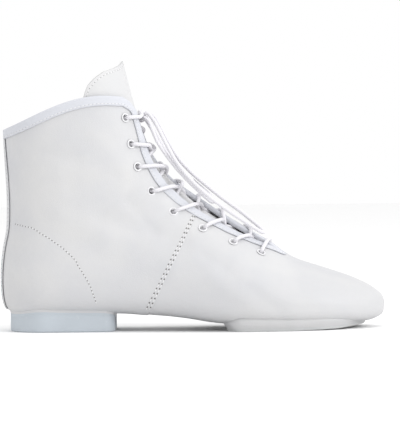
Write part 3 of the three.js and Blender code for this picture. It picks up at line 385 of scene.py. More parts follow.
waistRows = {
    "sole": [0.646, 0.598, 0.546, 0.486, 0.43, 0.373],
    "top": [0.654, 0.62, 0.59, 0.564, 0.542, 0.524],
    "arch": [0, 0.01, 0.15, 0.48, 0.71, 0.85],
    "rise": [0.044, 0.101, 0.149, 0.196, 0.237, 0.274],
    "lateral": [1.01, 0.99, 0.945, 0.88, 0.82, 0.77],
    "medial": [0.945, 0.88, 0.805, 0.735, 0.695, 0.67],
    "ridge": [0.2, 0.19, 0.18, 0.17, 0.155, 0.14],
    "wide": [0.26, 0.26, 0.26, 0.26, 0.26, 0.26],
    "under": [3.7, 3.6, 3.5, 3.5, 3.5, 3.5],
    "over": [1.9, 1.9, 1.9, 1.9, 1.9, 1.9],
}
heelRows = {
    "sole": [0.319, 0.255, 0.179, 0.103, 0.051, 0.025, 0.01, 0.0024, 0, 0.0012, 0.0068, 0.0156, 0.0184,
             0.0184, 0.0164, 0.014, 0.012, 0.0108],
    "top": [0.511, 0.499, 0.488, 0.479, 0.471, 0.465, 0.458, 0.452, 0.445, 0.438, 0.43, 0.421, 0.411, 0.4,
            0.388, 0.375, 0.364, 0.3514],
    "arch": [0.95, 0.99, 1, 1, 1, 1, 1, 1, 1, 1, 1, 1, 1, 1, 1, 1, 1, 1],
    "back": [0, 0, 0, 0, 0.001, 0.012, 0.043, 0.102, 0.181, 0.265, 0.357, 0.453, 0.549, 0.649, 0.749, 0.841,
             0.925, 1],
    "bow": [0, 0, 0, 0, 0, 0, 0, 0, 0, 0, 0, 0, 0.05, 0.15, 0.3, 0.5, 0.75, 1],
    "rise": [0.305, 0.334, 0.364, 0.389, 0.411, 0.43, 0.446, 0.465, 0.485, 0.507, 0.533, 0.567, 0.608, 0.66,
             0.726, 0.808, 0.901, 1],
    "lateral": [1.06, 1.02, 1.0, 1.0, 1.0, 0.99, 0.985, 0.98, 0.98, 0.98, 0.98, 0.98, 0.98, 0.985, 0.995,
                1.01, 1.025, 1.04],
    "medial": [0.96, 0.97, 0.98, 1.0, 1.0, 0.99, 0.985, 0.98, 0.98, 0.98, 0.98, 0.98, 0.98, 0.985, 0.995,
               1.01, 1.025, 1.04],
    "ridge": [0.125, 0.11, 0.09, 0.07, 0.05, 0.04, 0.03, 0.02, 0.01, 0, 0, 0, 0, 0, 0, 0, 0, 0],
    "wide": [0.26, 0.27, 0.28, 0.3, 0.33, 0.36, 0.38, 0.4, 0.41, 0.42, 0.43, 0.44, 0.45, 0.45, 0.45, 0.45,
             0.45, 0.45],
    "under": [3.6, 3.8, 4, 3.8, 3.4, 2.9, 2.6, 2.4, 2.3, 2.2, 2.15, 2.1, 2.1, 2.1, 2.1, 2.15, 2.2, 2.2],
    "over": [1.9, 1.95, 1.95, 2.0, 2.0, 2.0, 2.0, 2.0, 2.0, 2.0, 2.0, 2.0, 2.0, 2.0, 2.05, 2.1, 2.1, 2.1],
}
throat = {
    "foot": 141.0, "halfGap": 13.0, "shift": 15.0, "eyeletInset": 12.0,
    "along": [0, 0.02, 0.045, 0.08, 0.16, 0.28, 0.4, 0.5, 0.63, 0.76, 0.86, 0.93, 1],
    "half": [1.5, 1.1, 0.88, 0.82, 0.87, 1.0, 0.97, 0.85, 0.7, 0.56, 0.42, 0.27, 0],
    "aside": [0, 0, 0, 0, 0, 0.08, 0.2, 0.34, 0.63, 0.93, 1.03, 1.02, 0.97],
    "lateralEyelets": [0.09, 0.203, 0.295, 0.4, 0.51, 0.63, 0.765, 0.905],
    "medialEyelets": [0.09, 0.203, 0.3, 0.41, 0.53, 0.66, 0.81, 0.955],
}


def smoothRead(keys, values, at):
    # Cubic through a table's values, each slope taken from its neighbours
    keys, values = np.asarray(keys, float), np.asarray(values, float)
    at = np.clip(at, keys[0], keys[-1])
    high = np.clip(np.searchsorted(keys, at), 1, len(keys) - 1)
    share = (at - keys[high - 1]) / (keys[high] - keys[high - 1])
    last = len(keys) - 1
    picked = [values[np.clip(high + step, 0, last)] for step in (-2, -1, 0, 1)]
    return cubicMix(*picked, share)


def cubicMix(before, start, end, after, share):
    square, cube = share * share, share ** 3
    return (start * (2 * cube - 3 * square + 1) + (end - before) / 2 * (cube - 2 * square + share)
            + end * (3 * square - 2 * cube) + (after - start) / 2 * (cube - square))


def sectionNumbers():
    # Each section's foot, head, half-widths, fullness and bow, in millimetres
    s = size
    parts = []
    for table, half in ((toeRows, s["halfBall"]), (waistRows, s["halfBall"]), (heelRows, s["halfHeel"])):
        rows = {key: np.array(values, float) for key, values in table.items()}
        zero = np.zeros(len(rows["sole"]))
        keel = rows.get("keel", zero) * s["halfBall"]
        ridge = rows["ridge"] * s["halfBall"]
        if "lift" in rows:
            footZ = s["soleTop"] + rows["lift"] * (s["toeTip"] - s["soleTop"])
            headZ = rows["height"] * s["vampHeight"]
        else:
            back = rows.get("back", zero)
            footZ = (s["soleTop"] + (s["seatTop"] - s["soleTop"]) * rows["arch"]
                     + back * (s["collarBack"] - s["seatTop"]))
            headZ = s["vampHeight"] + (s["collarFront"] - s["vampHeight"]) * rows["rise"]
        middle = keel + (ridge - keel) * rows["wide"]
        parts.append(np.stack([
            rows["sole"] * s["length"] - s["heelBulge"], keel, footZ,
            rows["top"] * s["length"] - s["heelBulge"], ridge, headZ,
            middle + rows["lateral"] * half, rows["medial"] * half - middle,
            rows["wide"], rows["under"], rows["over"], rows.get("bow", zero) * s["collarBow"]], 1))
    return np.concatenate(parts)


sectionTable = sectionNumbers()
lastSection = len(sectionTable) - 1
seamSection = len(toeRows["sole"]) + len(waistRows["sole"]) - 1


def sectionsAt(position):
    # Sections between the table's rows, by a cubic through each number
    position = np.clip(np.asarray(position, float), 0, lastSection)
    k = np.minimum(position.astype(int), lastSection - 1)
    rows = [sectionTable[np.clip(k + step, 0, lastSection)] for step in (-1, 0, 1, 2)]
    before = np.where((k == 0)[:, None], 2 * rows[1] - rows[2], rows[0])
    after = np.where((k == lastSection - 1)[:, None], 2 * rows[2] - rows[1], rows[3])
    return cubicMix(before, rows[1], rows[2], after, (position - k)[:, None])


def outlinesAt(position):
    # From the head down the outer side to the foot and up the inner side: two quarter superellipses a
    # side, swollen upwards by the bow. Gives the points and the distance run to each.
    n = sectionsAt(position)
    steps = 60
    i = np.arange(4 * steps + 1)
    lateralSide = i <= 2 * steps
    turn = np.where(lateralSide, i, 4 * steps - i) / (2 * steps)
    over = turn <= 0.5
    angle = np.where(over, turn, 1 - turn) * math.pi
    power = 2 / np.where(over[None, :], n[:, 10:11], n[:, 9:10])
    rise = np.maximum(np.cos(angle), 0)[None, :] ** power
    out = np.maximum(np.sin(angle), 0)[None, :] ** power
    wide = n[:, 8:9]
    share = np.where(over[None, :], wide + (1 - wide) * rise, wide * (1 - rise))
    half = np.where(lateralSide[None, :], -n[:, 6:7], n[:, 7:8])
    points = n[:, None, 0:3] + (n[:, None, 3:6] - n[:, None, 0:3]) * share[:, :, None]
    points[:, :, 1] += half * out
    points[:, :, 2] += n[:, 11:12] * np.sin(math.pi * np.clip(share, 0, 1) ** size["bowLean"])
    lengths = np.cumsum(np.linalg.norm(np.diff(points, axis=1), axis=2), 1)
    return points, np.concatenate([np.zeros((len(n), 1)), lengths], 1)


# The whole skin as a fine net of points and outward normals, read between its knots
netPositions = np.linspace(0, lastSection, lastSection * 20 + 1)
netColumns = 900


def makeNet():
    # Each outline is cut into equal lengths. The normal is the cross product of the net's two directions.
    points, runs = outlinesAt(netPositions)
    rowShift = np.arange(len(netPositions))[:, None] * 1000.0
    reach = np.linspace(0, 1, netColumns, endpoint=False)[None, :] * runs[:, -1:] + rowShift
    flat = (runs + rowShift).ravel()
    net = np.stack([np.interp(reach.ravel(), flat, points[:, :, k].ravel()) for k in range(3)], 1)
    net = net.reshape(len(netPositions), netColumns, 3)
    around = np.roll(net, -3, axis=1) - np.roll(net, 3, axis=1)
    normals = unit(np.cross(np.gradient(net, axis=0), around))
    normals[0] = (1, 0, 0)
    return net, normals, runs[:, -1], runs[:, runs.shape[1] // 2]


netPoints, netNormals, netRounds, netKeels = makeNet()


def roundAt(position):
    return np.interp(position, netPositions, netRounds)


def keelAt(position):
    return np.interp(position, netPositions, netKeels)


def readNet(net, position, distance):
    # Bilinear reading of the net at a position and a distance round from the head
    position, distance = np.broadcast_arrays(np.asarray(position, float), np.asarray(distance, float))
    share = np.mod(distance / np.maximum(roundAt(position), 1e-6), 1.0) * netColumns
    row = np.clip(position / netPositions[1], 0, len(netPositions) - 1.000001)
    i, j = row.astype(int), share.astype(int) % netColumns
    a, b = (row - i)[..., None], (share - share.astype(int))[..., None]
    k = (j + 1) % netColumns
    low = net[i, j] * (1 - b) + net[i, k] * b
    high = net[i + 1, j] * (1 - b) + net[i + 1, k] * b
    return low * (1 - a) + high * a


def skinAt(position, distance, offset=0.0):
    # The outer skin, moved out along its normal by an offset
    return (readNet(netPoints, position, distance)
            + unit(readNet(netNormals, position, distance)) * np.asarray(offset, float)[..., None])


def normalAt(position, distance):
    return unit(readNet(netNormals, position, distance))


# The top line from the collar towards the toe tells how far along the throat a section lies
topPositions = np.arange(lastSection, -1e-6, -0.05)
topHeads = sectionsAt(topPositions)[:, 3:6]
topRun = runAlong(topHeads)
throatLength = float(np.interp(throat["foot"], topHeads[:, 0], topRun))


def positionAlong(share):
    return np.interp(np.asarray(share) * throatLength, topRun, topPositions)


def alongOf(position):
    return np.interp(lastSection - np.asarray(position), lastSection - topPositions, topRun) / throatLength


def throatHalf(along):
    along = np.asarray(along, float)
    return throat["halfGap"] * np.maximum(smoothRead(throat["along"], throat["half"], along), 0) * (along < 1)


def throatMiddle(along):
    return throat["shift"] * smoothRead(throat["along"], throat["aside"], np.asarray(along, float))


throatFoot = float(positionAlong(1.0))


def edgesAt(position):
    # Distances of the two throat edges, which meet in front of the throat's foot
    along, around = alongOf(position), roundAt(position)
    middle = np.minimum(throatMiddle(along), around * 0.06)
    half = throatHalf(along)
    return middle + half, around + middle - half


print("last worked out: throat", round(throatLength, 1), "mm")


# Free cords of the bow come first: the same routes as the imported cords, in millimetres
bow = {
    "radius": 1.25, "step": 0.7, "sides": 14,
    "longLoop": [
        (54.6, 0.9, 141.4), (56.8, 1.7, 141.7), (59.8, 3.6, 140.2), (62.8, 4.8, 135.8), (66.2, 5.2, 129.2),
        (69.8, 5.2, 122.4), (73.6, 5.2, 115.8), (77.8, 5.2, 109.8), (82.6, 5.2, 104.4), (87.8, 5.0, 99.4),
        (93.4, 4.6, 94.6), (99.2, 3.8, 89.8), (105.2, 2.6, 85.0), (111.4, 1.2, 80.4), (117.6, 0.0, 75.8),
        (123.4, -1.2, 71.0), (128.6, -3.0, 66.6), (131.6, -7.2, 63.4), (129.8, -11.4, 63.4),
        (125.2, -13.2, 66.2), (119.2, -13.2, 70.2), (112.6, -12.6, 74.6), (106.0, -11.6, 79.2),
        (99.8, -10.8, 83.8), (94.0, -10.4, 88.6), (88.6, -10.4, 93.6), (83.4, -10.6, 99.0),
        (78.6, -10.6, 104.8), (74.4, -10.2, 110.8), (70.8, -9.2, 117.2), (67.4, -7.8, 123.8),
        (64.2, -6.4, 130.4), (60.8, -4.8, 136.6), (57.0, -2.0, 141.2), (54.6, -1.0, 141.2)],
    "shortLoop": [
        (54.7, 4.3, 138.7), (57.9, 7.6, 135.7), (59.9, 9.0, 131.5), (62.3, 9.0, 125.9), (66.1, 8.4, 119.3),
        (70.3, 7.8, 113.1), (75.1, 7.4, 107.3), (80.3, 7.2, 102.1), (85.7, 6.8, 97.1), (91.1, 5.8, 92.3),
        (96.3, 3.8, 87.7), (99.7, -0.4, 83.9), (97.9, -5.0, 83.1), (92.9, -6.8, 87.1), (87.3, -7.0, 92.5),
        (81.7, -7.4, 98.1), (76.5, -7.8, 103.9), (71.7, -8.0, 109.9), (67.3, -8.0, 116.1),
        (63.1, -8.0, 122.7), (60.1, -8.2, 129.7), (57.9, -7.2, 135.5), (54.7, -4.3, 138.5)],
    "longEnd": [
        (54.6, 1.1, 139.0), (56.4, 1.2, 137.9), (59.4, 1.4, 132.4), (62.8, 1.3, 126.0), (66.4, 1.2, 119.8),
        (70.4, 1.0, 113.8), (75.0, 0.8, 108.0), (80.0, 0.8, 102.6), (85.2, 0.8, 97.4)],
    "shortEnd": [
        (54.0, -1.6, 138.8), (55.3, -2.1, 137.6), (59.0, -3.0, 131.8), (62.4, -3.1, 125.4),
        (66.0, -3.2, 119.2), (70.0, -3.4, 113.2), (74.4, -3.6, 107.6)],
}


def smoothPath(route, step):
    # A Catmull-Rom curve through the route's points, cut into equal steps
    points = np.asarray(route, float)
    padded = np.concatenate([[2 * points[0] - points[1]], points, [2 * points[-1] - points[-2]]])
    share = np.linspace(0, 1, 24, endpoint=False)[None, :, None]
    legs = [padded[k:len(padded) - 3 + k, None, :] for k in range(4)]
    curve = cubicMix(*legs, share).reshape(-1, points.shape[1])
    return resample(np.concatenate([curve, points[-1:]]), step)


def framesAlong(path):
    # Tangents, and two directions across the path that turn with it as little as they can
    tangent = unit(np.gradient(path, axis=0))
    across = np.zeros_like(path)
    side = np.cross(tangent[0], (0.31, 0.87, 0.38))
    for k in range(len(path)):
        side = side - tangent[k] * np.dot(side, tangent[k])
        side = side / np.linalg.norm(side)
        across[k] = side
    return tangent, across, np.cross(tangent, across)


def tube(name, path, radius, sides, material):
    # A circle carried along the path, drawn in to a rounded end at both ends; u once round, v along in mm
    tangent, across, up = framesAlong(path)
    caps = np.array([0.0, 0.45, 0.8, 0.96])
    ends = np.array([-1.0, -0.85, -0.55, -0.2]) * 0.8 * radius
    run = np.concatenate([ends, runAlong(path), runAlong(path)[-1] - ends[::-1]])
    rows = np.concatenate([np.zeros(4, int), np.arange(len(path)), np.full(4, len(path) - 1)])
    slide = np.concatenate([ends, np.zeros(len(path)), -ends[::-1]])
    reach = radius * np.concatenate([caps, np.ones(len(path)), caps[::-1]])
    angle = np.linspace(0, 2 * math.pi, sides + 1)
    ring = across[rows, None] * np.cos(angle)[None, :, None] + up[rows, None] * np.sin(angle)[None, :, None]
    centre = path[rows] + tangent[rows] * slide[:, None]
    points = centre[:, None] + ring * reach[:, None, None]
    uv = np.stack(np.broadcast_arrays(np.linspace(0, 1, sides + 1)[None, :], run[:, None]), -1)
    quads = gridQuads(len(rows), sides + 1, turned=True)
    return weld(buildMesh(name, points, quads, material, uv=uv))


def weld(piece, reach=2e-6):
    # Joins points that coincide at poles and seams, and drops the faces that close up there
    mesh = bmesh.new()
    mesh.from_mesh(piece.data)
    bmesh.ops.remove_doubles(mesh, verts=mesh.verts, dist=reach)
    mesh.to_mesh(piece.data)
    mesh.free()
    piece.data.update()
    return piece


def layCord(name, key, node):
    path = smoothPath(bow[key], bow["step"])
    piece = tube(name, path, bow["radius"], bow["sides"], laceCord)
    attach(piece, "root")
    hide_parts(node)
    return piece


layCord("bowLongLoop", "longLoop", "lace_loop_long")
layCord("bowShortLoop", "shortLoop", "lace_loop_short")
layCord("bowLongEnd", "longEnd", "lace_end_long")
layCord("bowShortEnd", "shortEnd", "lace_end_short")

knot = {"centre": (52.6, 0.0, 140.0), "wide": 1.55, "high": 1.15, "deep": 1.25, "radius": 1.25}


def makeKnot(k):
    # A trefoil turn of cord: two windings round the middle, woven front to back three times
    t = np.linspace(0, 2 * math.pi, 240)
    path = np.stack([k["deep"] * np.sin(3 * t), k["wide"] * (np.sin(t) + 2 * np.sin(2 * t)),
                     k["high"] * (np.cos(t) - 2 * np.cos(2 * t))], 1) + np.array(k["centre"])
    piece = tube("bowKnot", path, k["radius"], bow["sides"], laceCord)
    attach(piece, "root")
    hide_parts("lace_knot")


makeKnot(knot)
print("bow laid")


# The upper: a grid from the outer throat edge round the foot to the inner one
upper = {
    "vampColumns": 236, "quarterRows": 180, "quarterColumns": 260, "hole": 2.45,
    "tipRows": 40, "tipEnds": 3, "tipTight": 0.6, "throatRows": 70, "seamRows": 90, "past": 0.1,
    # The quarters' edge lies over the vamp: lengths in sections, heights in mm
    "underLap": 0.16, "lap": 0.35, "lip": 0.05, "lipRun": 0.06, "lapFades": 1.3,
    "edgeRows": [0, 0.008, 0.02, 0.04, 0.06, 0.1, 0.15], "dip": 0.12, "dipAt": 0.15, "dipWide": 0.2,
    "sideFade": 12.0,  # folds fade out within this of the middle plane
    # Soft folds, given one by one: ends in X and Z, half-width, depth (a ridge is negative) and side
    "folds": [
        (28, 73, 78, 58, 7.0, 0.9, -1), (58, 88, 74, 78, 6.0, -0.55, -1), (44, 84, 60, 66, 4.5, 0.5, -1),
        (-18, 119, 10, 112, 5.0, 0.45, -1), (-27, 95, -2, 103, 6.0, -0.45, -1),
        (8, 93, 34, 101, 5.0, 0.5, -1),
        (0, 76, 28, 66, 8.0, -0.55, -1), (-6, 62, 20, 56, 5.5, 0.4, -1), (22, 128, 36, 112, 6.0, -0.4, -1),
        (24, 46, 62, 34, 7.0, 0.45, -1), (108, 44, 152, 31, 6.5, 0.55, -1), (92, 50, 112, 36, 4.5, 0.4, -1),
        (98, 34, 124, 16, 4.5, -0.4, -1), (120, 30, 140, 14, 4.0, 0.4, -1), (150, 34, 172, 20, 7.0, -0.3, -1),
        (30, 72, 80, 58, 7.0, 0.8, 1), (84, 60, 110, 44, 5.0, 0.5, 1), (0, 78, 28, 68, 8.0, -0.5, 1),
        (-18, 116, 12, 110, 6.0, 0.45, 1), (10, 98, 36, 90, 6.0, -0.45, 1), (-24, 92, -2, 98, 6.0, 0.4, 1),
        (24, 44, 60, 34, 7.0, 0.45, 1), (110, 40, 150, 28, 6.5, 0.5, 1), (100, 32, 126, 16, 4.5, -0.4, 1)],
}


def eyeletPlaces():
    # Middle of each eyelet: on its facing, an inset out from the throat's edge
    alongs = np.concatenate([throat["lateralEyelets"], throat["medialEyelets"]])
    sign = np.repeat([1.0, -1.0], len(throat["lateralEyelets"]))
    positions = positionAlong(alongs)
    distances = throatMiddle(alongs) + sign * (throatHalf(alongs) + throat["eyeletInset"])
    return positions, distances, skinAt(positions, distances), normalAt(positions, distances)


eyeletPositions, eyeletDistances, eyeletPoints, eyeletNormals = eyeletPlaces()


def foldRelief(points, folds):
    # Each fold is a bell across a line in side view, fading past its ends
    total = np.zeros(points.shape[:-1])
    for x0, z0, x1, z1, width, depth, side in folds:
        line = np.array([x1 - x0, z1 - z0], float)
        away = points[..., [0, 2]] - np.array([x0, z0])
        run = np.clip((away @ line) / (line @ line), 0, 1)
        gap = np.linalg.norm(away - run[..., None] * line, axis=-1)
        onSide = np.clip(points[..., 1] * side / upper["sideFade"], 0, 1)
        total -= depth * np.exp(-(gap / width) ** 2) * onSide
    return total


def leatherShell(name, positions, columns, raised):
    # Outer skin at the relief, inner skin a wall deeper, and rims where the shell has free edges
    low, high = edgesAt(positions)
    share = np.linspace(0, 1, columns)
    distance = low[:, None] + (high - low)[:, None] * share[None, :]
    place = np.broadcast_to(positions[:, None], distance.shape)
    base = skinAt(place, distance)
    relief = raised(place, distance) + foldRelief(base, upper["folds"])
    outer = skinAt(place, distance, relief)
    inner = skinAt(place, distance, np.minimum(relief, 0) - size["wall"])
    centre = (base[1:, 1:] + base[:-1, :-1]) / 2
    holed = np.zeros(centre.shape[:2], bool)
    for point in eyeletPoints:
        holed |= np.linalg.norm(centre - point, axis=-1) < upper["hole"]
    rows = len(positions)
    count = rows * columns
    cells = gridQuads(rows, columns)
    kept = ~holed.ravel()
    faces = [cells[kept], cells[kept][:, ::-1] + count]
    # Rims: along both ends, down the open throat edges and round each eyelet hole
    i, j = np.meshgrid(np.arange(rows - 1), np.arange(columns - 1), indexing="ij")
    i, j = i.ravel()[kept], j.ravel()[kept]
    solid = np.pad(~holed, 1)
    openRow = throatHalf(alongOf(positions[1:])) > 1e-6
    # For each side of a cell: is its neighbour missing, and the row and column steps to the side's ends
    wallSides = (
        (~solid[:-2, 1:-1], 0, 0, 0, 1), (~solid[2:, 1:-1], 1, 1, 1, 0),
        (~solid[1:-1, :-2], 1, 0, 0, 0), (~solid[1:-1, 2:], 0, 1, 1, 1))
    rims = []
    for missing, di0, dj0, di1, dj1 in wallSides:
        bare = missing.ravel()[kept]
        a = (i + di0) * columns + j + dj0
        b = (i + di1) * columns + j + dj1
        onThroat = ((j == 0) & (dj0 == dj1 == 0)) | ((j == columns - 2) & (dj0 == dj1 == 1))
        bare &= ~(onThroat & ~openRow[i])
        bare &= ~((i == 0) & (di0 == di1 == 0) & (positions[0] < 0.01))
        rims.append(np.stack([a, b, b + count, a + count], 1)[bare])
    rims = np.concatenate(rims)
    quads = np.concatenate(faces + [rims])
    lined = np.repeat([0, 1, 0], [kept.sum(), kept.sum(), len(rims)])
    piece = buildMesh(name, np.concatenate([outer.reshape(-1, 3), inner.reshape(-1, 3)]), quads, upperLeather)
    piece.data.materials.append(lining)
    piece.data.polygons.foreach_set("material_index", lined.astype(np.int32))
    weld(piece)
    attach(piece, "root")
    print(name, "faces", len(piece.data.polygons))
    return piece


def vampRaised(place, distance):
    # Nothing but a bell-shaped dip in front of the seam, where the quarters' edge presses
    return -upper["dip"] * np.exp(-((place - seamSection + upper["dipAt"]) / upper["dipWide"]) ** 2)


def quarterRaised(place, distance):
    # A turned edge at the seam that lifts by the lap and fades back into the skin
    after = place - (seamSection - upper["underLap"])
    edge = np.sqrt(np.clip(after / upper["lipRun"], 0, 1))
    fade = np.clip(1 - after / upper["lapFades"], 0, 1)
    return (upper["lap"] + upper["lip"]) * edge * fade * fade * (3 - 2 * fade)


def easedRows(last, count, tight):
    # Rows from the toe tip on, packed closer there, where the sections are short
    t = np.linspace(0, 1, count)
    return last * (tight * t * t + (1 - tight) * t)


vampPositions = np.unique(np.concatenate([
    easedRows(upper["tipEnds"], upper["tipRows"], upper["tipTight"]),
    np.linspace(upper["tipEnds"], throatFoot, upper["throatRows"]),
    np.linspace(throatFoot, seamSection + upper["past"], upper["seamRows"])]))
vamp = leatherShell("vampLeather", vampPositions, upper["vampColumns"], vampRaised)
quarterPositions = np.unique(np.concatenate([
    seamSection - upper["underLap"] + np.array(upper["edgeRows"]),
    np.linspace(seamSection + upper["lipRun"], lastSection, upper["quarterRows"])]))
quarters = leatherShell("quarterLeather", quarterPositions, upper["quarterColumns"], quarterRaised)
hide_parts("upper")

insole = nodes["insole"]
for slot in insole.material_slots:
    slot.material = lining


# Folded tape round the collar and down both throat edges
tapeShape = {
    "width": 5.5, "lift": 0.3, "thick": 0.55, "reach": 0.9, "step": 0.8, "cornerRun": 9.0,
    "edgeRound": 0.12, "legEnds": 0.5, "foldIn": 0.2, "foldInside": 0.35, "innerLegEnds": 0.3,
    "legPoints": 7, "foldPoints": 9, "stitchIn": 4.3, "stitchPitch": 2.6,
}


def edgePath():
    # Places on the rim of the upper as position and distance: up the outer edge, round the collar to
    # the inner edge and down again
    rise = np.linspace(throatFoot + 0.002, lastSection, 400)
    low, high = edgesAt(rise)
    around = np.linspace(low[-1], high[-1], 240)[1:-1]
    position = np.concatenate([rise, np.full(len(around), lastSection), rise[::-1]])
    return position, np.concatenate([low, around, high[::-1]])


def roundedLoop(values, reach):
    # The mean of a closed run of values over a short reach, which rounds its corners
    window = np.hanning(2 * reach + 3)[1:-1]
    window /= window.sum()
    padded = np.concatenate([values[-reach:], values, values[:reach]])
    return np.stack([np.convolve(padded[:, k], window, mode="valid") for k in range(values.shape[1])], 1)


def rimPath(step):
    # The closed rim as position and distance at equal steps
    position, distance = edgePath()
    points = skinAt(position, distance)
    run = runAlong(np.concatenate([points, points[:1]]))
    at = np.linspace(0, run[-1], int(run[-1] / step), endpoint=False)
    places = np.stack([position, distance], 1)
    closed = np.concatenate([places, places[:1] + np.array([[0, roundAt(position[-1])]])])
    return np.stack([np.interp(at, run, closed[:, k]) for k in range(2)], 1)


def surfaceSteps(position, distance):
    # How far the skin moves for a step of position at the same share of the way round, and of distance
    share = distance / roundAt(position)
    ahead, behind = np.minimum(position + 0.05, lastSection), position - 0.05
    alongStep = (skinAt(ahead, share * roundAt(ahead)) - skinAt(behind, share * roundAt(behind)))
    alongStep = alongStep / (ahead - behind)[:, None]
    aroundStep = (skinAt(position, distance + 0.4) - skinAt(position, distance - 0.4)) / 0.8
    return alongStep, aroundStep, share


def onRim(places, inward, offset, heading):
    # A point in from the rim by a length and out from the skin by an offset. The steps of position and
    # distance for a millimetre of heading solve two equations in the skin's own two directions. Beyond
    # the collar the skin is carried straight on.
    position, distance = places[:, 0], places[:, 1]
    alongStep, aroundStep, share = surfaceSteps(position, distance)
    g11 = np.sum(alongStep * alongStep, 1)
    g12 = np.sum(alongStep * aroundStep, 1)
    g22 = np.sum(aroundStep * aroundStep, 1)
    h1 = np.sum(alongStep * heading, 1)
    h2 = np.sum(aroundStep * heading, 1)
    det = g11 * g22 - g12 * g12
    dp = (h1 * g22 - h2 * g12) / det
    dd = (h2 * g11 - h1 * g12) / det
    inside = np.maximum(inward, 0)
    newPosition = np.clip(position + dp * inside, 0, lastSection)
    newDistance = share * roundAt(newPosition) + dd * inside
    point = skinAt(newPosition, newDistance, offset)
    return point + heading * np.minimum(inward, 0)[:, None]


def rimFrames():
    # At each place on the rim: its point, the skin's normal and the way in from the edge, which is
    # square to the rim with its corners rounded
    places = rimPath(tapeShape["step"])
    points = skinAt(places[:, 0], places[:, 1])
    smoothed = roundedLoop(points, int(tapeShape["cornerRun"] / tapeShape["step"]))
    tangent = unit(np.roll(smoothed, -1, 0) - np.roll(smoothed, 1, 0))
    normal = normalAt(places[:, 0], places[:, 1])
    return places, points, normal, unit(np.cross(normal, tangent))


rimPlaces, rimPoints, rimNormal, rimHeading = rimFrames()


def makeTape(t):
    # The fold's outline, from the outer leg's edge over the rim to the inner leg's edge and back: lengths
    # in from the rim, with offsets from the skin
    width, thick, low = t["width"], t["thick"], t["lift"]
    top, bottom = low + thick, -size["wall"] - low
    middle, half = (top + bottom - thick) / 2, (top - bottom + thick) / 2
    outerLeg = np.linspace(width, t["legEnds"], t["legPoints"])
    turn = np.linspace(0, math.pi, t["foldPoints"])
    inner, fold = t["innerLegEnds"], t["foldIn"]
    inward = np.concatenate([
        [width + t["edgeRound"]], outerLeg, fold - (t["reach"] + fold) * np.sin(turn), outerLeg[::-1],
        [width + t["edgeRound"], width, inner], fold - (t["reach"] - t["foldInside"]) * np.sin(turn),
        [inner, width]])
    offset = np.concatenate([
        [low + thick / 2], np.full(t["legPoints"], top), middle + half * np.cos(turn),
        np.full(t["legPoints"], bottom - thick), [bottom - thick / 2, bottom, bottom],
        middle - (half - thick) * np.cos(turn), [low, low]])
    span = len(inward)
    places = np.repeat(rimPlaces, span, 0)
    heading = np.repeat(rimHeading, span, 0)
    points = onRim(places, np.tile(inward, len(rimPlaces)), np.tile(offset, len(rimPlaces)), heading)
    run = runAlong(np.concatenate([rimPoints, rimPoints[:1]]))[:-1]
    across = np.concatenate([[0], np.cumsum(np.hypot(np.diff(inward), np.diff(offset)))])
    uv = np.stack(np.broadcast_arrays(across[None, :], run[:, None]), -1).reshape(-1, 2)
    quads = gridQuads(len(rimPlaces), span, closedRows=True, closedColumns=True, turned=True)
    piece = buildMesh("edgeTape", points, quads, tapeCloth, uv=uv)
    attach(piece, "root")
    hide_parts("collar_binding")
    return piece


edgeTape = makeTape(tapeShape)
print("tape folded over the edges")

# Strip over the back seam
strip = {"half": 9.5, "lift": 0.25, "thick": 0.7, "foot": 14.6, "tapeGap": 0.25, "rows": 130, "sides": 56,
         "widePower": 0.35, "thickPower": 0.6, "stitchIn": 1.6, "stitchPitch": 2.8, "stitchSkip": 4}


def makeStrip(s):
    # A flat band on the skin. Across, its outline is a superellipse, and its thickness draws in at both
    # ends. It runs from above the heel block to just under the tape.
    heel = np.linspace(lastSection - 12, lastSection, 600)
    startAt = heel[np.argmax(skinAt(heel, keelAt(heel))[:, 2] > s["foot"])]
    ends = np.array([lastSection - 1, lastSection])
    step = np.linalg.norm(np.diff(skinAt(ends, keelAt(ends)), axis=0))
    position = np.linspace(startAt, lastSection - (tapeShape["width"] + s["tapeGap"]) / step, s["rows"])
    angle = np.linspace(0, 2 * math.pi, s["sides"], endpoint=False)
    across = s["half"] * np.sign(np.cos(angle)) * np.abs(np.cos(angle)) ** s["widePower"]
    thick = s["thick"] / 2 * np.sign(np.sin(angle)) * np.abs(np.sin(angle)) ** s["thickPower"]
    number = np.arange(s["rows"])
    close = np.clip(np.minimum(number, number[::-1]) / 2.0, 0, 1) ** 0.5
    place = np.broadcast_to(position[:, None], (s["rows"], s["sides"]))
    points = skinAt(place, keelAt(place) + across[None, :],
                    s["lift"] + s["thick"] / 2 + thick[None, :] * close[:, None])
    quads = gridQuads(s["rows"], s["sides"], closedColumns=True)
    piece = weld(buildMesh("backStrip", points, quads, stripLeather))
    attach(piece, "root")
    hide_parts("back_strip")
    return position


stripPositions = makeStrip(strip)

# Tongue under the facings, rising to a point above the collar
tongue = {
    "half": 43.0, "narrows": 0.55, "spread": 4.5, "thick": 1.9, "foot": 10.0, "rise": 27.0, "lean": 0.09,
    # Depth under the skin down the throat, and how far the middle swells out between the facings
    "along": [0, 0.05, 0.11, 0.2, 0.6, 0.8, 1.1], "depth": [2.75, 3.0, 4.0, 4.3, 4.2, 3.7, 3.2],
    "swellAlong": [0, 0.04, 0.09, 1.1], "swell": [1.7, 1.4, 0, 0], "swellWidth": 9.0,
    "across": [0, 0.16, 0.35, 0.53, 0.71, 0.85, 0.915, 1],
    "tip": [1, 0.91, 0.81, 0.71, 0.53, 0.345, 0.21, 0.02],
    "narrowPower": 1.5, "spreadEnds": 0.1, "rows": 150, "risingRows": 46, "columns": 120,
    "stitchIn": 2.2, "stitchFrom": 2.6, "stitchPitch": 2.6, "stitchLift": 0.02,
}


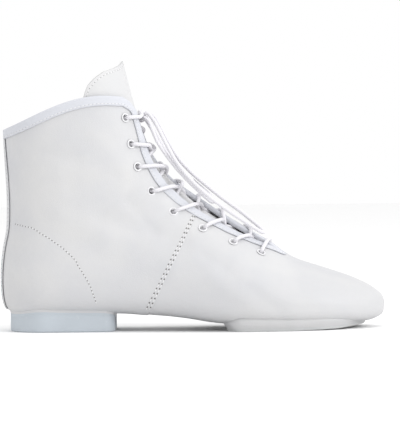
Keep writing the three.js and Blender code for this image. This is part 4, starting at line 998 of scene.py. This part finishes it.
def tongueNet(t, deeper):
    # Below the collar it follows the last at the table's depth. Above it each line runs straight on
    # with a slight lean forward, as high as the table gives for its share of the half width.
    share = np.linspace(-1, 1, t["columns"])
    startAt = np.interp(throatLength + t["foot"], topRun, topPositions)
    position = np.linspace(startAt, lastSection, t["rows"])
    along = alongOf(position)
    half = t["half"] * (1 - t["narrows"] * np.minimum(along, 1) ** t["narrowPower"])
    half = half + t["spread"] * np.maximum(1 - along / t["spreadEnds"], 0) ** 2
    distance = throatMiddle(along)[:, None] - share[None, :] * half[:, None]
    sunk = np.interp(along, t["along"], t["depth"])[:, None] + deeper
    swell = np.interp(along, t["swellAlong"], t["swell"])[:, None]
    sunk = sunk - swell * np.exp(-(share[None, :] * half[:, None] / t["swellWidth"]) ** 2)
    place = np.broadcast_to(position[:, None], distance.shape)
    lower = skinAt(place, distance, -sunk)
    heading = unit(skinAt(place[-1], distance[-1], -3.0) - skinAt(place[-8], distance[-8], -3.0))
    heading = heading + np.array([t["lean"], 0, 0])
    rise = t["rise"] * np.interp(np.abs(share), t["across"], t["tip"])
    up = np.linspace(0, 1, t["risingRows"])[1:]
    raised = lower[-1][None] + heading[None] * (up[:, None] * rise[None, :])[..., None]
    return np.concatenate([lower, raised])


def makeTongue(t):
    # Outer and inner faces, and a wall between their edges
    outer, inner = tongueNet(t, 0.0), tongueNet(t, t["thick"])
    rows, columns = outer.shape[:2]
    count = rows * columns
    quads = [gridQuads(rows, columns, turned=True), gridQuads(rows, columns, start=count)]
    front = np.arange(columns - 1)
    down = np.arange(rows - 1) * columns
    foot = np.stack([front, front + 1, front + 1 + count, front + count], 1)
    head = foot + (rows - 1) * columns
    left = np.stack([down, down + count, down + columns + count, down + columns], 1)
    right = left + columns - 1
    quads = np.concatenate(quads + [foot, head[:, ::-1], left, right[:, ::-1]])
    points = np.concatenate([outer.reshape(-1, 3), inner.reshape(-1, 3)])
    piece = buildMesh("tongueLeather", points, quads, tongueLeather)
    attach(piece, "root")
    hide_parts("tongue")
    return outer


tongueOuter = makeTongue(tongue)
print("strip and tongue made")

# Enamelled eyelets, all in one joined mesh
eyeletShape = {
    "sides": 30,
    "radius": [1.95, 1.95, 2.0, 2.12, 2.4, 2.7, 2.95, 3.05, 3.05, 2.95, 2.4, 2.3, 2.3, 3.0, 3.0, 1.95],
    "height": [-2.3, 0.3, 0.48, 0.62, 0.7, 0.66, 0.54, 0.4, 0.22, 0.15, 0.15, 0.1, -1.75, -1.75, -2.25, -2.3],
}


def makeEyelets(e):
    # The ring's outline turned about each eyelet's own axis, which is the skin's normal
    angle = np.linspace(0, 2 * math.pi, e["sides"], endpoint=False)
    side = unit(np.cross(eyeletNormals, (0.2, 0.1, 1.0)))
    up = np.cross(eyeletNormals, side)
    spoke = side[:, None] * np.cos(angle)[None, :, None] + up[:, None] * np.sin(angle)[None, :, None]
    radius, height = np.array(e["radius"]), np.array(e["height"])
    points = (eyeletPoints[:, None, None] + eyeletNormals[:, None, None] * height[None, :, None, None]
              + spoke[:, None] * radius[None, :, None, None])
    rows, columns = len(radius), e["sides"]
    one = gridQuads(rows, columns, closedRows=True, closedColumns=True)
    quads = np.concatenate([one + k * rows * columns for k in range(len(eyeletPoints))])
    piece = buildMesh("eyeletRings", points, quads, enamel)
    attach(piece, "root")
    names = [f"eyelet_{side}_{number}" for side in ("lateral", "medial") for number in range(1, 9)]
    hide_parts(*names)


makeEyelets(eyeletShape)

# One lace through all the eyelets, from the knot down one side and back up the other
laceRun = {
    "radius": 1.25, "step": 0.6, "sides": 12,
    # Run in mm from the eyelet's middle towards the throat, and offset from the skin
    "out": [(1.3, -2.2), (1.55, -0.8), (1.95, 0.5), (2.9, 1.55), (4.4, 1.95), (7.0, 2.1), (10.5, 2.2)],
    "under": [(9.0, -3.75), (5.5, -3.6), (2.4, -3.5), (0.9, -3.2)],
    "overGap": -0.1, "underGap": -2.75, "inner": (-1.0, -3.3),
}


def crossingPath(first, firstSide, second, top):
    # From out of one eyelet over its own edge, across the gap and under the other edge to the next
    sign = 1.0 if firstSide == "lateral" else -1.0
    other = "medial" if firstSide == "lateral" else "lateral"
    start, end = throat[firstSide + "Eyelets"][first], throat[other + "Eyelets"][second]
    a, b = eyeletSpot(firstSide, start), eyeletSpot(other, end)
    gap = abs(a - b) - 2 * throat["eyeletInset"]
    whole = abs(a - b)
    inset = throat["eyeletInset"]
    height = laceRun["overGap"] if top else laceRun["underGap"]
    table = list(laceRun["out"])
    if gap > 7:
        table += [(inset + 1.2, 1.7), (inset + gap / 2, height), (inset + gap - 2.0, -3.6 + 0.3 * top)]
    else:
        table += [(inset + 0.3, 1.5), (inset + gap / 2, height - 0.4)]
    table += [(whole - run, offset) for run, offset in laceRun["under"]]
    return runOffsets(table, whole, start, end, a, sign)


def eyeletSpot(side, along):
    sign = 1.0 if side == "lateral" else -1.0
    return float(throatMiddle(along) + sign * (throatHalf(along) + throat["eyeletInset"]))


def runOffsets(table, whole, start, end, a, sign):
    table = np.array(table)
    share = table[:, 0] / whole
    along = start + (end - start) * share
    b = eyeletSpot("medial" if sign > 0 else "lateral", end)
    distance = a + (b - a) * share
    return skinAt(positionAlong(along), distance, table[:, 1])


def lacePath():
    down = {}
    for startSide in ("lateral", "medial"):
        side = startSide
        points = []
        for pair in range(8):
            other = "medial" if side == "lateral" else "lateral"
            if pair == 0:
                points.append(topLeg(side))
                start, end = throat[side + "Eyelets"][0], throat[other + "Eyelets"][1]
                a, b = eyeletSpot(side, start), eyeletSpot(other, end)
                whole = abs(a - b)
                height = laceRun["inner"][0 if startSide == "lateral" else 1]
                table = [(0.9, -3.2), (2.4, -3.5), (6.0, -3.6), (10.5, -3.7), (whole / 2, height),
                         (whole - 10.5, -3.7), (whole - 6.0, -3.6), (whole - 2.4, -3.5), (whole - 0.9, -3.2)]
                points.append(runOffsets(table, whole, start, end, a, 1.0 if side == "lateral" else -1.0))
            elif pair < 7:
                points.append(crossingPath(pair, side, pair + 1, startSide == "lateral"))
            side = other
        down[startSide] = np.concatenate(points)
    low = barPath()
    return np.concatenate([down["lateral"], low, down["medial"][::-1]])


def topLeg(side):
    # From the knot over the collar's corner and down through the first eyelet
    sign = 1.0 if side == "lateral" else -1.0
    along = throat[side + "Eyelets"][0]
    a = eyeletSpot(side, along)
    runs = [(12.6, 2.0), (9.0, 2.2)] + laceRun["out"][-3::-1]
    points = skinAt(positionAlong(along), a - sign * np.array(runs)[:, 0], np.array(runs)[:, 1])
    start = np.array([[knot["centre"][0] + 0.6, -sign * 2.0, knot["centre"][2]],
                      [knot["centre"][0] + 0.4, -sign * 4.6, knot["centre"][2] + 0.2]])
    return np.concatenate([start, points])


def barPath():
    # Straight over the facings between the two bottom eyelets. The run before it ends at the inner one.
    start, end = throat["medialEyelets"][7], throat["lateralEyelets"][7]
    a, b = eyeletSpot("medial", start), eyeletSpot("lateral", end)
    whole = abs(a - b)
    table = list(laceRun["out"][:5])
    table += [(whole / 2, 2.3)] + [(whole - run, offset) for run, offset in table[::-1]]
    return runOffsets(table, whole, start, end, a, -1.0)


laceRunPath = smoothPath(lacePath(), laceRun["step"])
laceRunPiece = tube("laceRun", laceRunPath, laceRun["radius"], laceRun["sides"], laceCord)
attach(laceRunPiece, "root")
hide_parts(*[f"lace_crossing_{number}" for number in range(1, 8)], "lace_bar",
            "lace_tie_lateral", "lace_tie_medial")
print("lace run", round(float(runAlong(laceRunPath)[-1])), "mm long")

# Heel block and forefoot pad
heelShape = {
    "length": 69.0, "width": 50.0, "backRadius": 24.5, "corner": 7.0, "lean": 2.0, "top": 12.0,
    "bevel": 1.1, "groovePitch": 6.0, "grooveWidth": 0.8, "grooveDepth": 1.0,
}
padShape = {
    "start": 107.0, "end": 197.5, "inset": 4.2, "frontRound": 26.0, "backRound": 10.0, "flatEnd": 150.0,
    "spring": 2.6, "top": 4.5, "bevel": 0.7,
}


def leatherOver(outline):
    # Height of the leather's underside over each point of a flat outline
    near = netPoints[60:560:2, 130:770:2].reshape(-1, 3)
    below = netNormals[60:560:2, 130:770:2].reshape(-1, 3)[:, 2] < 0
    near = near[below & (near[:, 2] < 40)]
    return np.array([near[np.argmin(np.sum((near[:, :2] - spot) ** 2, 1)), 2] for spot in outline])


def slab(name, outline, levels, bottomRise, grooves, groove, material, rubberRings):
    # Rings of one outline drawn in by an inset at each height. The wall runs up to the leather over it,
    # the top dishes in under the foot and the underside has its grooves. Past the rubber's rings the
    # wall is the upper's leather, turned in over the edge.
    outline = np.asarray(outline)
    centre = outline.mean(axis=0)
    tangent = unit(np.roll(outline, -1, 0) - np.roll(outline, 1, 0))
    outward = np.stack([-tangent[:, 1], tangent[:, 0]], 1)
    rings = []
    over = leatherOver(outline - outward * levels[-1][1])
    over = np.convolve(np.concatenate([over[-6:], over, over[:6]]), np.ones(13) / 13, mode="valid") + 0.45
    for height, inset in levels:
        flat = outline - outward * inset
        rise = bottomRise(flat[:, 0])
        level = height + rise
        if height >= 3:
            level = rise + 3 + (over - rise - 3) * (height - 3) / (levels[-1][0] - 3)
        rings.append(np.concatenate([flat, level[:, None]], 1))
    top, bottom = rings[-1], rings[0]
    shares = np.linspace(1, 0, 44)[1:]
    seat = over.min() + 0.2
    topFill = [np.concatenate([centre + (top[:, :2] - centre) * s, seat + (top[:, 2:] - seat) * s ** 4], 1)
               for s in (0.9, 0.75, 0.5, 0.0)]
    underFill = []
    for s in shares:
        flat = centre + (bottom[:, :2] - centre) * s
        z = bottomRise(flat[:, 0])
        deep = np.zeros(len(flat))
        for x in grooves:
            within = groove["grooveWidth"] + 0.35 - np.abs(flat[:, 0] - x)
            deep = np.maximum(deep, np.clip(within / 0.35, 0, 1))
        underFill.append(np.concatenate([flat, (z + groove["grooveDepth"] * deep)[:, None]], 1))
    topFill[-1][:] = topFill[-1].mean(axis=0)
    underFill[-1][:] = underFill[-1].mean(axis=0)
    rows = np.stack(underFill[::-1] + rings + topFill)
    quads = gridQuads(rows.shape[0], rows.shape[1], closedColumns=True, turned=True)
    piece = buildMesh(name, rows, quads, material)
    piece.data.materials.append(upperLeather)
    leather = np.arange(len(quads)) // rows.shape[1] >= len(underFill) + rubberRings
    piece.data.polygons.foreach_set("material_index", leather.astype(np.int32))
    weld(piece)
    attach(piece, "root")
    return piece


def heelOutline(h):
    front, half, corner = h["length"] / 2, h["width"] / 2, h["corner"]
    centre = -front + h["backRadius"]
    turn = np.linspace(0, math.pi / 2, 12)
    back = np.linspace(math.pi / 2, 1.5 * math.pi, 60)
    points = np.concatenate([
        np.stack([front - corner + corner * np.cos(turn), half - corner + corner * np.sin(turn)], 1),
        np.stack([centre + h["backRadius"] * np.cos(back), half * np.sin(back)], 1),
        np.stack([front - corner + corner * np.sin(turn), -half + corner - corner * np.cos(turn)], 1)])
    loop = resample(np.concatenate([points, points[:1]]), count=241)[:-1]
    return loop[::-1]


def makeHeel(h):
    bevel = h["bevel"]
    levels = [(0.0, bevel), (0.12, bevel * 0.5), (0.45, 0.14), (bevel, 0.0), (3.0, 0.0), (6.0, 0.0),
              (8.9, 0.0), (9.15, 0.16), (9.4, 0.0), (10.3, 0.0), (11.2, -0.3), (h["top"], -0.8)]
    grooves = np.arange(-h["length"] / 2 + h["groovePitch"], h["length"] / 2 - h["groovePitch"] + 0.01,
                        h["groovePitch"])
    piece = slab("heelBlock", heelOutline(h), levels, lambda x: np.zeros(len(x)), grooves, h, soleRubber, 9)
    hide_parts("heel")


def sideOf(x, side):
    sole = (x + size["heelBulge"]) / size["length"]
    keys = np.array(toeRows["sole"] + waistRows["sole"])[::-1]
    values = np.array(toeRows[side] + waistRows[side])[::-1]
    return np.interp(sole, keys, values) * size["halfBall"]


def makePad(p):
    t = np.linspace(0, 1, 90)
    x = p["start"] + (p["end"] - p["start"]) * (1 - np.cos(t * math.pi)) / 2
    front = np.maximum(0, (x - p["end"] + p["frontRound"]) / p["frontRound"])
    back = np.maximum(0, (p["start"] + p["backRound"] - x) / p["backRound"])
    full = np.sqrt(np.maximum(1 - front ** 2.4, 0)) * (1 - 0.25 * back ** 2)
    middle = (sideOf(p["end"], "medial") - sideOf(p["end"], "lateral")) / 2
    outer = middle + (-sideOf(x, "lateral") + p["inset"] - middle) * full
    inner = middle + (sideOf(x, "medial") - p["inset"] - middle) * full
    loop = np.concatenate([np.stack([x, outer], 1), np.stack([x, inner], 1)[::-1][1:]])
    loop = resample(np.concatenate([loop, loop[:1]]), count=281)[:-1]

    def spring(places):
        share = np.clip((places - p["flatEnd"]) / (p["end"] + 1 - p["flatEnd"]), 0, 1)
        return p["spring"] * np.interp(share, [0, 0.6, 1], [0, 0.3, 1])

    bevel = p["bevel"]
    levels = [(0.0, bevel), (0.1, bevel * 0.45), (0.3, 0.1), (bevel, 0.0), (2.1, -0.4), (3.0, -1.2),
              (3.8, -2.0), (p["top"], -2.6)]
    piece = slab("forefootPad", loop[::-1], levels, spring, [], {"grooveWidth": 0, "grooveDepth": 0},
                 padRubber, 4)
    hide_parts("forefoot_sole")


makeHeel(heelShape)
makePad(padShape)
print("heel and pad made")


# Stitches: a short arched thread between two needle holes
sewing = {"pitch": 3.4, "length": 2.1, "thread": 0.24, "lift": 0.12, "hole": 0.36, "seamRows": (1.1, 3.3)}
counter = {
    "pitch": 2.3,
    "line": [(-29.7, 70.3), (-19.7, 68.2), (-13.9, 65.2), (-7.2, 61.0), (0.3, 55.6), (7.4, 49.3),
             (10.7, 44.8), (14.9, 37.3), (17.4, 33.2), (19.9, 26.9), (23.7, 16.2)],
}


def stitchRow(places, normals, pitch, raised=0.0):
    # Threads are flattened capsules along the row, arched between their ends
    run = runAlong(places)
    count = int(run[-1] / pitch)
    at = (np.arange(count) + 0.5) * (run[-1] / count)
    centre = np.stack([np.interp(at, run, places[:, k]) for k in range(3)], 1)
    normal = unit(np.stack([np.interp(at, run, normals[:, k]) for k in range(3)], 1))
    tangent = unit(np.stack([np.interp(at + 0.5, run, places[:, k]) - np.interp(at - 0.5, run, places[:, k])
                             for k in range(3)], 1))
    side = np.cross(normal, tangent)
    return centre + normal * raised, tangent, side, normal


def sew(name, rows, thickness=None, length=None, hole=1.0, dash=1.0):
    centre, tangent, side, normal = (np.concatenate(parts) for parts in zip(*rows))
    radius = thickness or sewing["thread"]
    length = length or sewing["length"]
    along = np.array([-1, -0.9, -0.5, 0, 0.5, 0.9, 1])
    swell = np.array([0, 0.7, 1, 1.05, 1, 0.7, 0])
    arch = sewing["lift"] * (1 - along ** 2) - 0.04
    angle = np.linspace(0, 2 * math.pi, 6, endpoint=False)
    local = (centre[:, None, None] + tangent[:, None, None] * (along * length / 2)[None, :, None, None]
             + normal[:, None, None] * arch[None, :, None, None]
             + side[:, None, None] * (radius * swell[:, None] * np.cos(angle))[None, :, :, None]
             + normal[:, None, None] * (radius * 0.75 * swell[:, None] * np.sin(angle))[None, :, :, None])
    one = gridQuads(7, 6, closedColumns=True, turned=False)
    quads = np.concatenate([one + k * 42 for k in range(len(centre))])
    piece = weld(buildMesh(name, local, quads, thread), 1e-7)
    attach(piece, "root")
    # Needle holes: small dark domes pressed into the leather between the threads, their dark colour painted
    # shade inside each hole
    reach = length / 2 + 0.25
    spots = np.concatenate([centre - tangent * reach, centre[-1:] + tangent[-1:] * reach])
    spotSide, spotTangent, spotNormal = (np.concatenate([v, v[-1:]]) for v in (side, tangent, normal))
    ringRadius = np.array([0.0, 0.6, 1.0, 1.0, 0.0]) * sewing["hole"]
    ringLift = np.array([0.06, 0.05, 0.0, -0.25, -0.3])
    turn = np.linspace(0, 2 * math.pi, 8, endpoint=False)
    spoke = (spotSide[:, None] * np.cos(turn)[None, :, None] * hole
             + spotTangent[:, None] * np.sin(turn)[None, :, None] * (hole * dash))
    points = (spots[:, None, None] + spotNormal[:, None, None] * ringLift[None, :, None, None]
              + spoke[:, None] * ringRadius[None, :, None, None])
    dome = gridQuads(5, 8, closedColumns=True, turned=False)
    quads = np.concatenate([dome + k * 40 for k in range(len(spots))])
    holes = weld(buildMesh(name + "HoleShades", points, quads, needleHoleShade), 1e-7)
    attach(holes, "root")
    return piece


def rowOnSkin(position, distance, offset, pitch):
    position, distance = np.asarray(position, float), np.asarray(distance, float)
    places = skinAt(position, distance, offset)
    fine = resample(places, 0.4)
    run = runAlong(places)
    at = np.linspace(0, run[-1], len(fine))
    position, distance = np.interp(at, run, position), np.interp(at, run, distance)
    lift = np.interp(at, run, np.broadcast_to(offset, places.shape[:1]))
    places = skinAt(position, distance, lift)
    return stitchRow(places, normalAt(position, distance), pitch)


def seamRows():
    # Two rows behind the quarter's edge, drawing together towards the throat
    rows = []
    edgeAt = seamSection - upper["underLap"]
    low, high = edgesAt(np.array([edgeAt]))
    keel = keelAt(edgeAt)
    for behind in sewing["seamRows"]:
        for first, last in ((low[0] + 6.2, keel - 31), (high[0] - 6.2, keel + 31)):
            distance = np.linspace(first, last, 200)
            share = distance / roundAt(edgeAt)
            ahead = skinAt(edgeAt + 0.5, share * roundAt(edgeAt + 0.5))
            step = np.linalg.norm(ahead - skinAt(edgeAt, distance), axis=1)
            position = edgeAt + behind * (0.6 + 0.4 * np.linspace(0, 1, 200)) * 0.5 / step
            distance = share * roundAt(position)
            lift = quarterRaised(position, distance) + foldRelief(skinAt(position, distance), upper["folds"])
            rows.append(rowOnSkin(position, distance, lift, sewing["pitch"]))
    return rows


def stripRows():
    return [rowOnSkin(stripPositions[4:-4], keelAt(stripPositions[4:-4]) + side * 7.9,
                      strip["lift"] + strip["thick"], 2.8) for side in (-1, 1)]


def tapeRows():
    inward = np.full(len(rimPlaces), tapeShape["stitchIn"])
    lift = np.full(len(rimPlaces), tapeShape["lift"] + tapeShape["thick"])
    places = onRim(rimPlaces, inward, lift, rimHeading)
    return [stitchRow(places, rimNormal, tapeShape["stitchPitch"])]


def tongueRows():
    # Two millimetres below the tongue's free edge, on its outer face
    low = tongueOuter[tongue["rows"] - 1]
    top = tongueOuter[-1]
    reach = np.linalg.norm(top - low, axis=1)
    shown = reach > 2.6
    line = (top - unit(top - low) * 2.2)[shown]
    outward = unit(np.cross(np.gradient(line, axis=0), unit(top - low)[shown]))
    outward *= np.sign(outward[:, :1] + 1e-9) if outward[len(outward) // 2, 0] < 0 else 1.0
    return [stitchRow(line, outward, 2.6, 0.02)]


def counterRows():
    # A curved row over the heel stiffener, by points in X and Z on the outer side, and its mirror image
    line = smoothPath(np.array(counter["line"], float), 0.5)
    near = netPoints[240:, 30:430][::2, ::1]
    places = netPositions[240::2]
    rows = []
    flat = near[..., [0, 2]].reshape(-1, 2)
    found = np.array([np.argmin(np.sum((flat - spot) ** 2, 1)) for spot in line[::6]])
    position = places[found // near.shape[1]]
    share = (30 + found % near.shape[1]) / netColumns
    fine = np.linspace(0, len(found) - 1, 300)
    position = np.interp(fine, np.arange(len(found)), position)
    share = np.interp(fine, np.arange(len(found)), share)
    for side in (share, 1 - share):
        distance = side * roundAt(position)
        lift = foldRelief(skinAt(position, distance), upper["folds"])
        rows.append(rowOnSkin(position, distance, lift, counter["pitch"]))
    return rows


sew("seamStitches", seamRows(), hole=1.35, dash=1.5)
sew("counterStitches", counterRows(), 0.2, 1.4, 1.05, 1.3)
sew("stripStitches", stripRows(), hole=0.8)
sew("tapeStitches", tapeRows(), 0.18, 1.8, 0.45)
sew("tongueStitches", tongueRows(), 0.2, 1.7, 0.7)
print("stitches sewn")

# Pale floor and soft light
floorLook = {"half": 3.0, "colour": (0.95, 0.95, 0.95)}


def makeFloor(look):
    f = Finish("paleFloor")
    drift = f.noise(3, 2, 0.5)
    tone = f.blend(drift, look["colour"], (0.93, 0.93, 0.93))
    material = f.surface(Base_Color=tone, Roughness=0.9)
    half = look["half"] * 1000
    points = [(-half, -half, 0), (half, -half, 0), (half, half, 0), (-half, half, 0)]
    floor = buildMesh("paleFloor", points, [[0, 1, 2, 3]], material)


makeFloor(floorLook)

lights = {
    "world": 1.0,
    "overhead": {"place": (0.25, -0.2, 1.7), "aim": (0.1, 0, 0.05), "size": 1.0, "power": 5.0},
    "toeSide": {"place": (1.5, -0.9, 1.0), "aim": (0.1, 0, 0.06), "size": 0.8, "power": 13.0},
}


def makeLights(look):
    world = bpy.data.worlds.new("softRoom")
    world.use_nodes = True
    backdrop = world.node_tree.nodes["Background"]
    backdrop.inputs["Color"].default_value = (1, 1, 1, 1)
    backdrop.inputs["Strength"].default_value = look["world"]
    bpy.context.scene.world = world
    bpy.context.scene.view_settings.view_transform = "Standard"  # white stays white, as on a light table
    for name in ("overhead", "toeSide"):
        lamp = look[name]
        data = bpy.data.lights.new(name + "Light", "AREA")
        data.energy, data.size = lamp["power"], lamp["size"]
        piece = bpy.data.objects.new(name + "Light", data)
        sight = (Vector(lamp["aim"]) - Vector(lamp["place"])).to_track_quat("-Z", "Y")
        piece.matrix_world = Matrix.Translation(lamp["place"]) @ sight.to_matrix().to_4x4()
        bpy.context.scene.collection.objects.link(piece)


makeLights(lights)
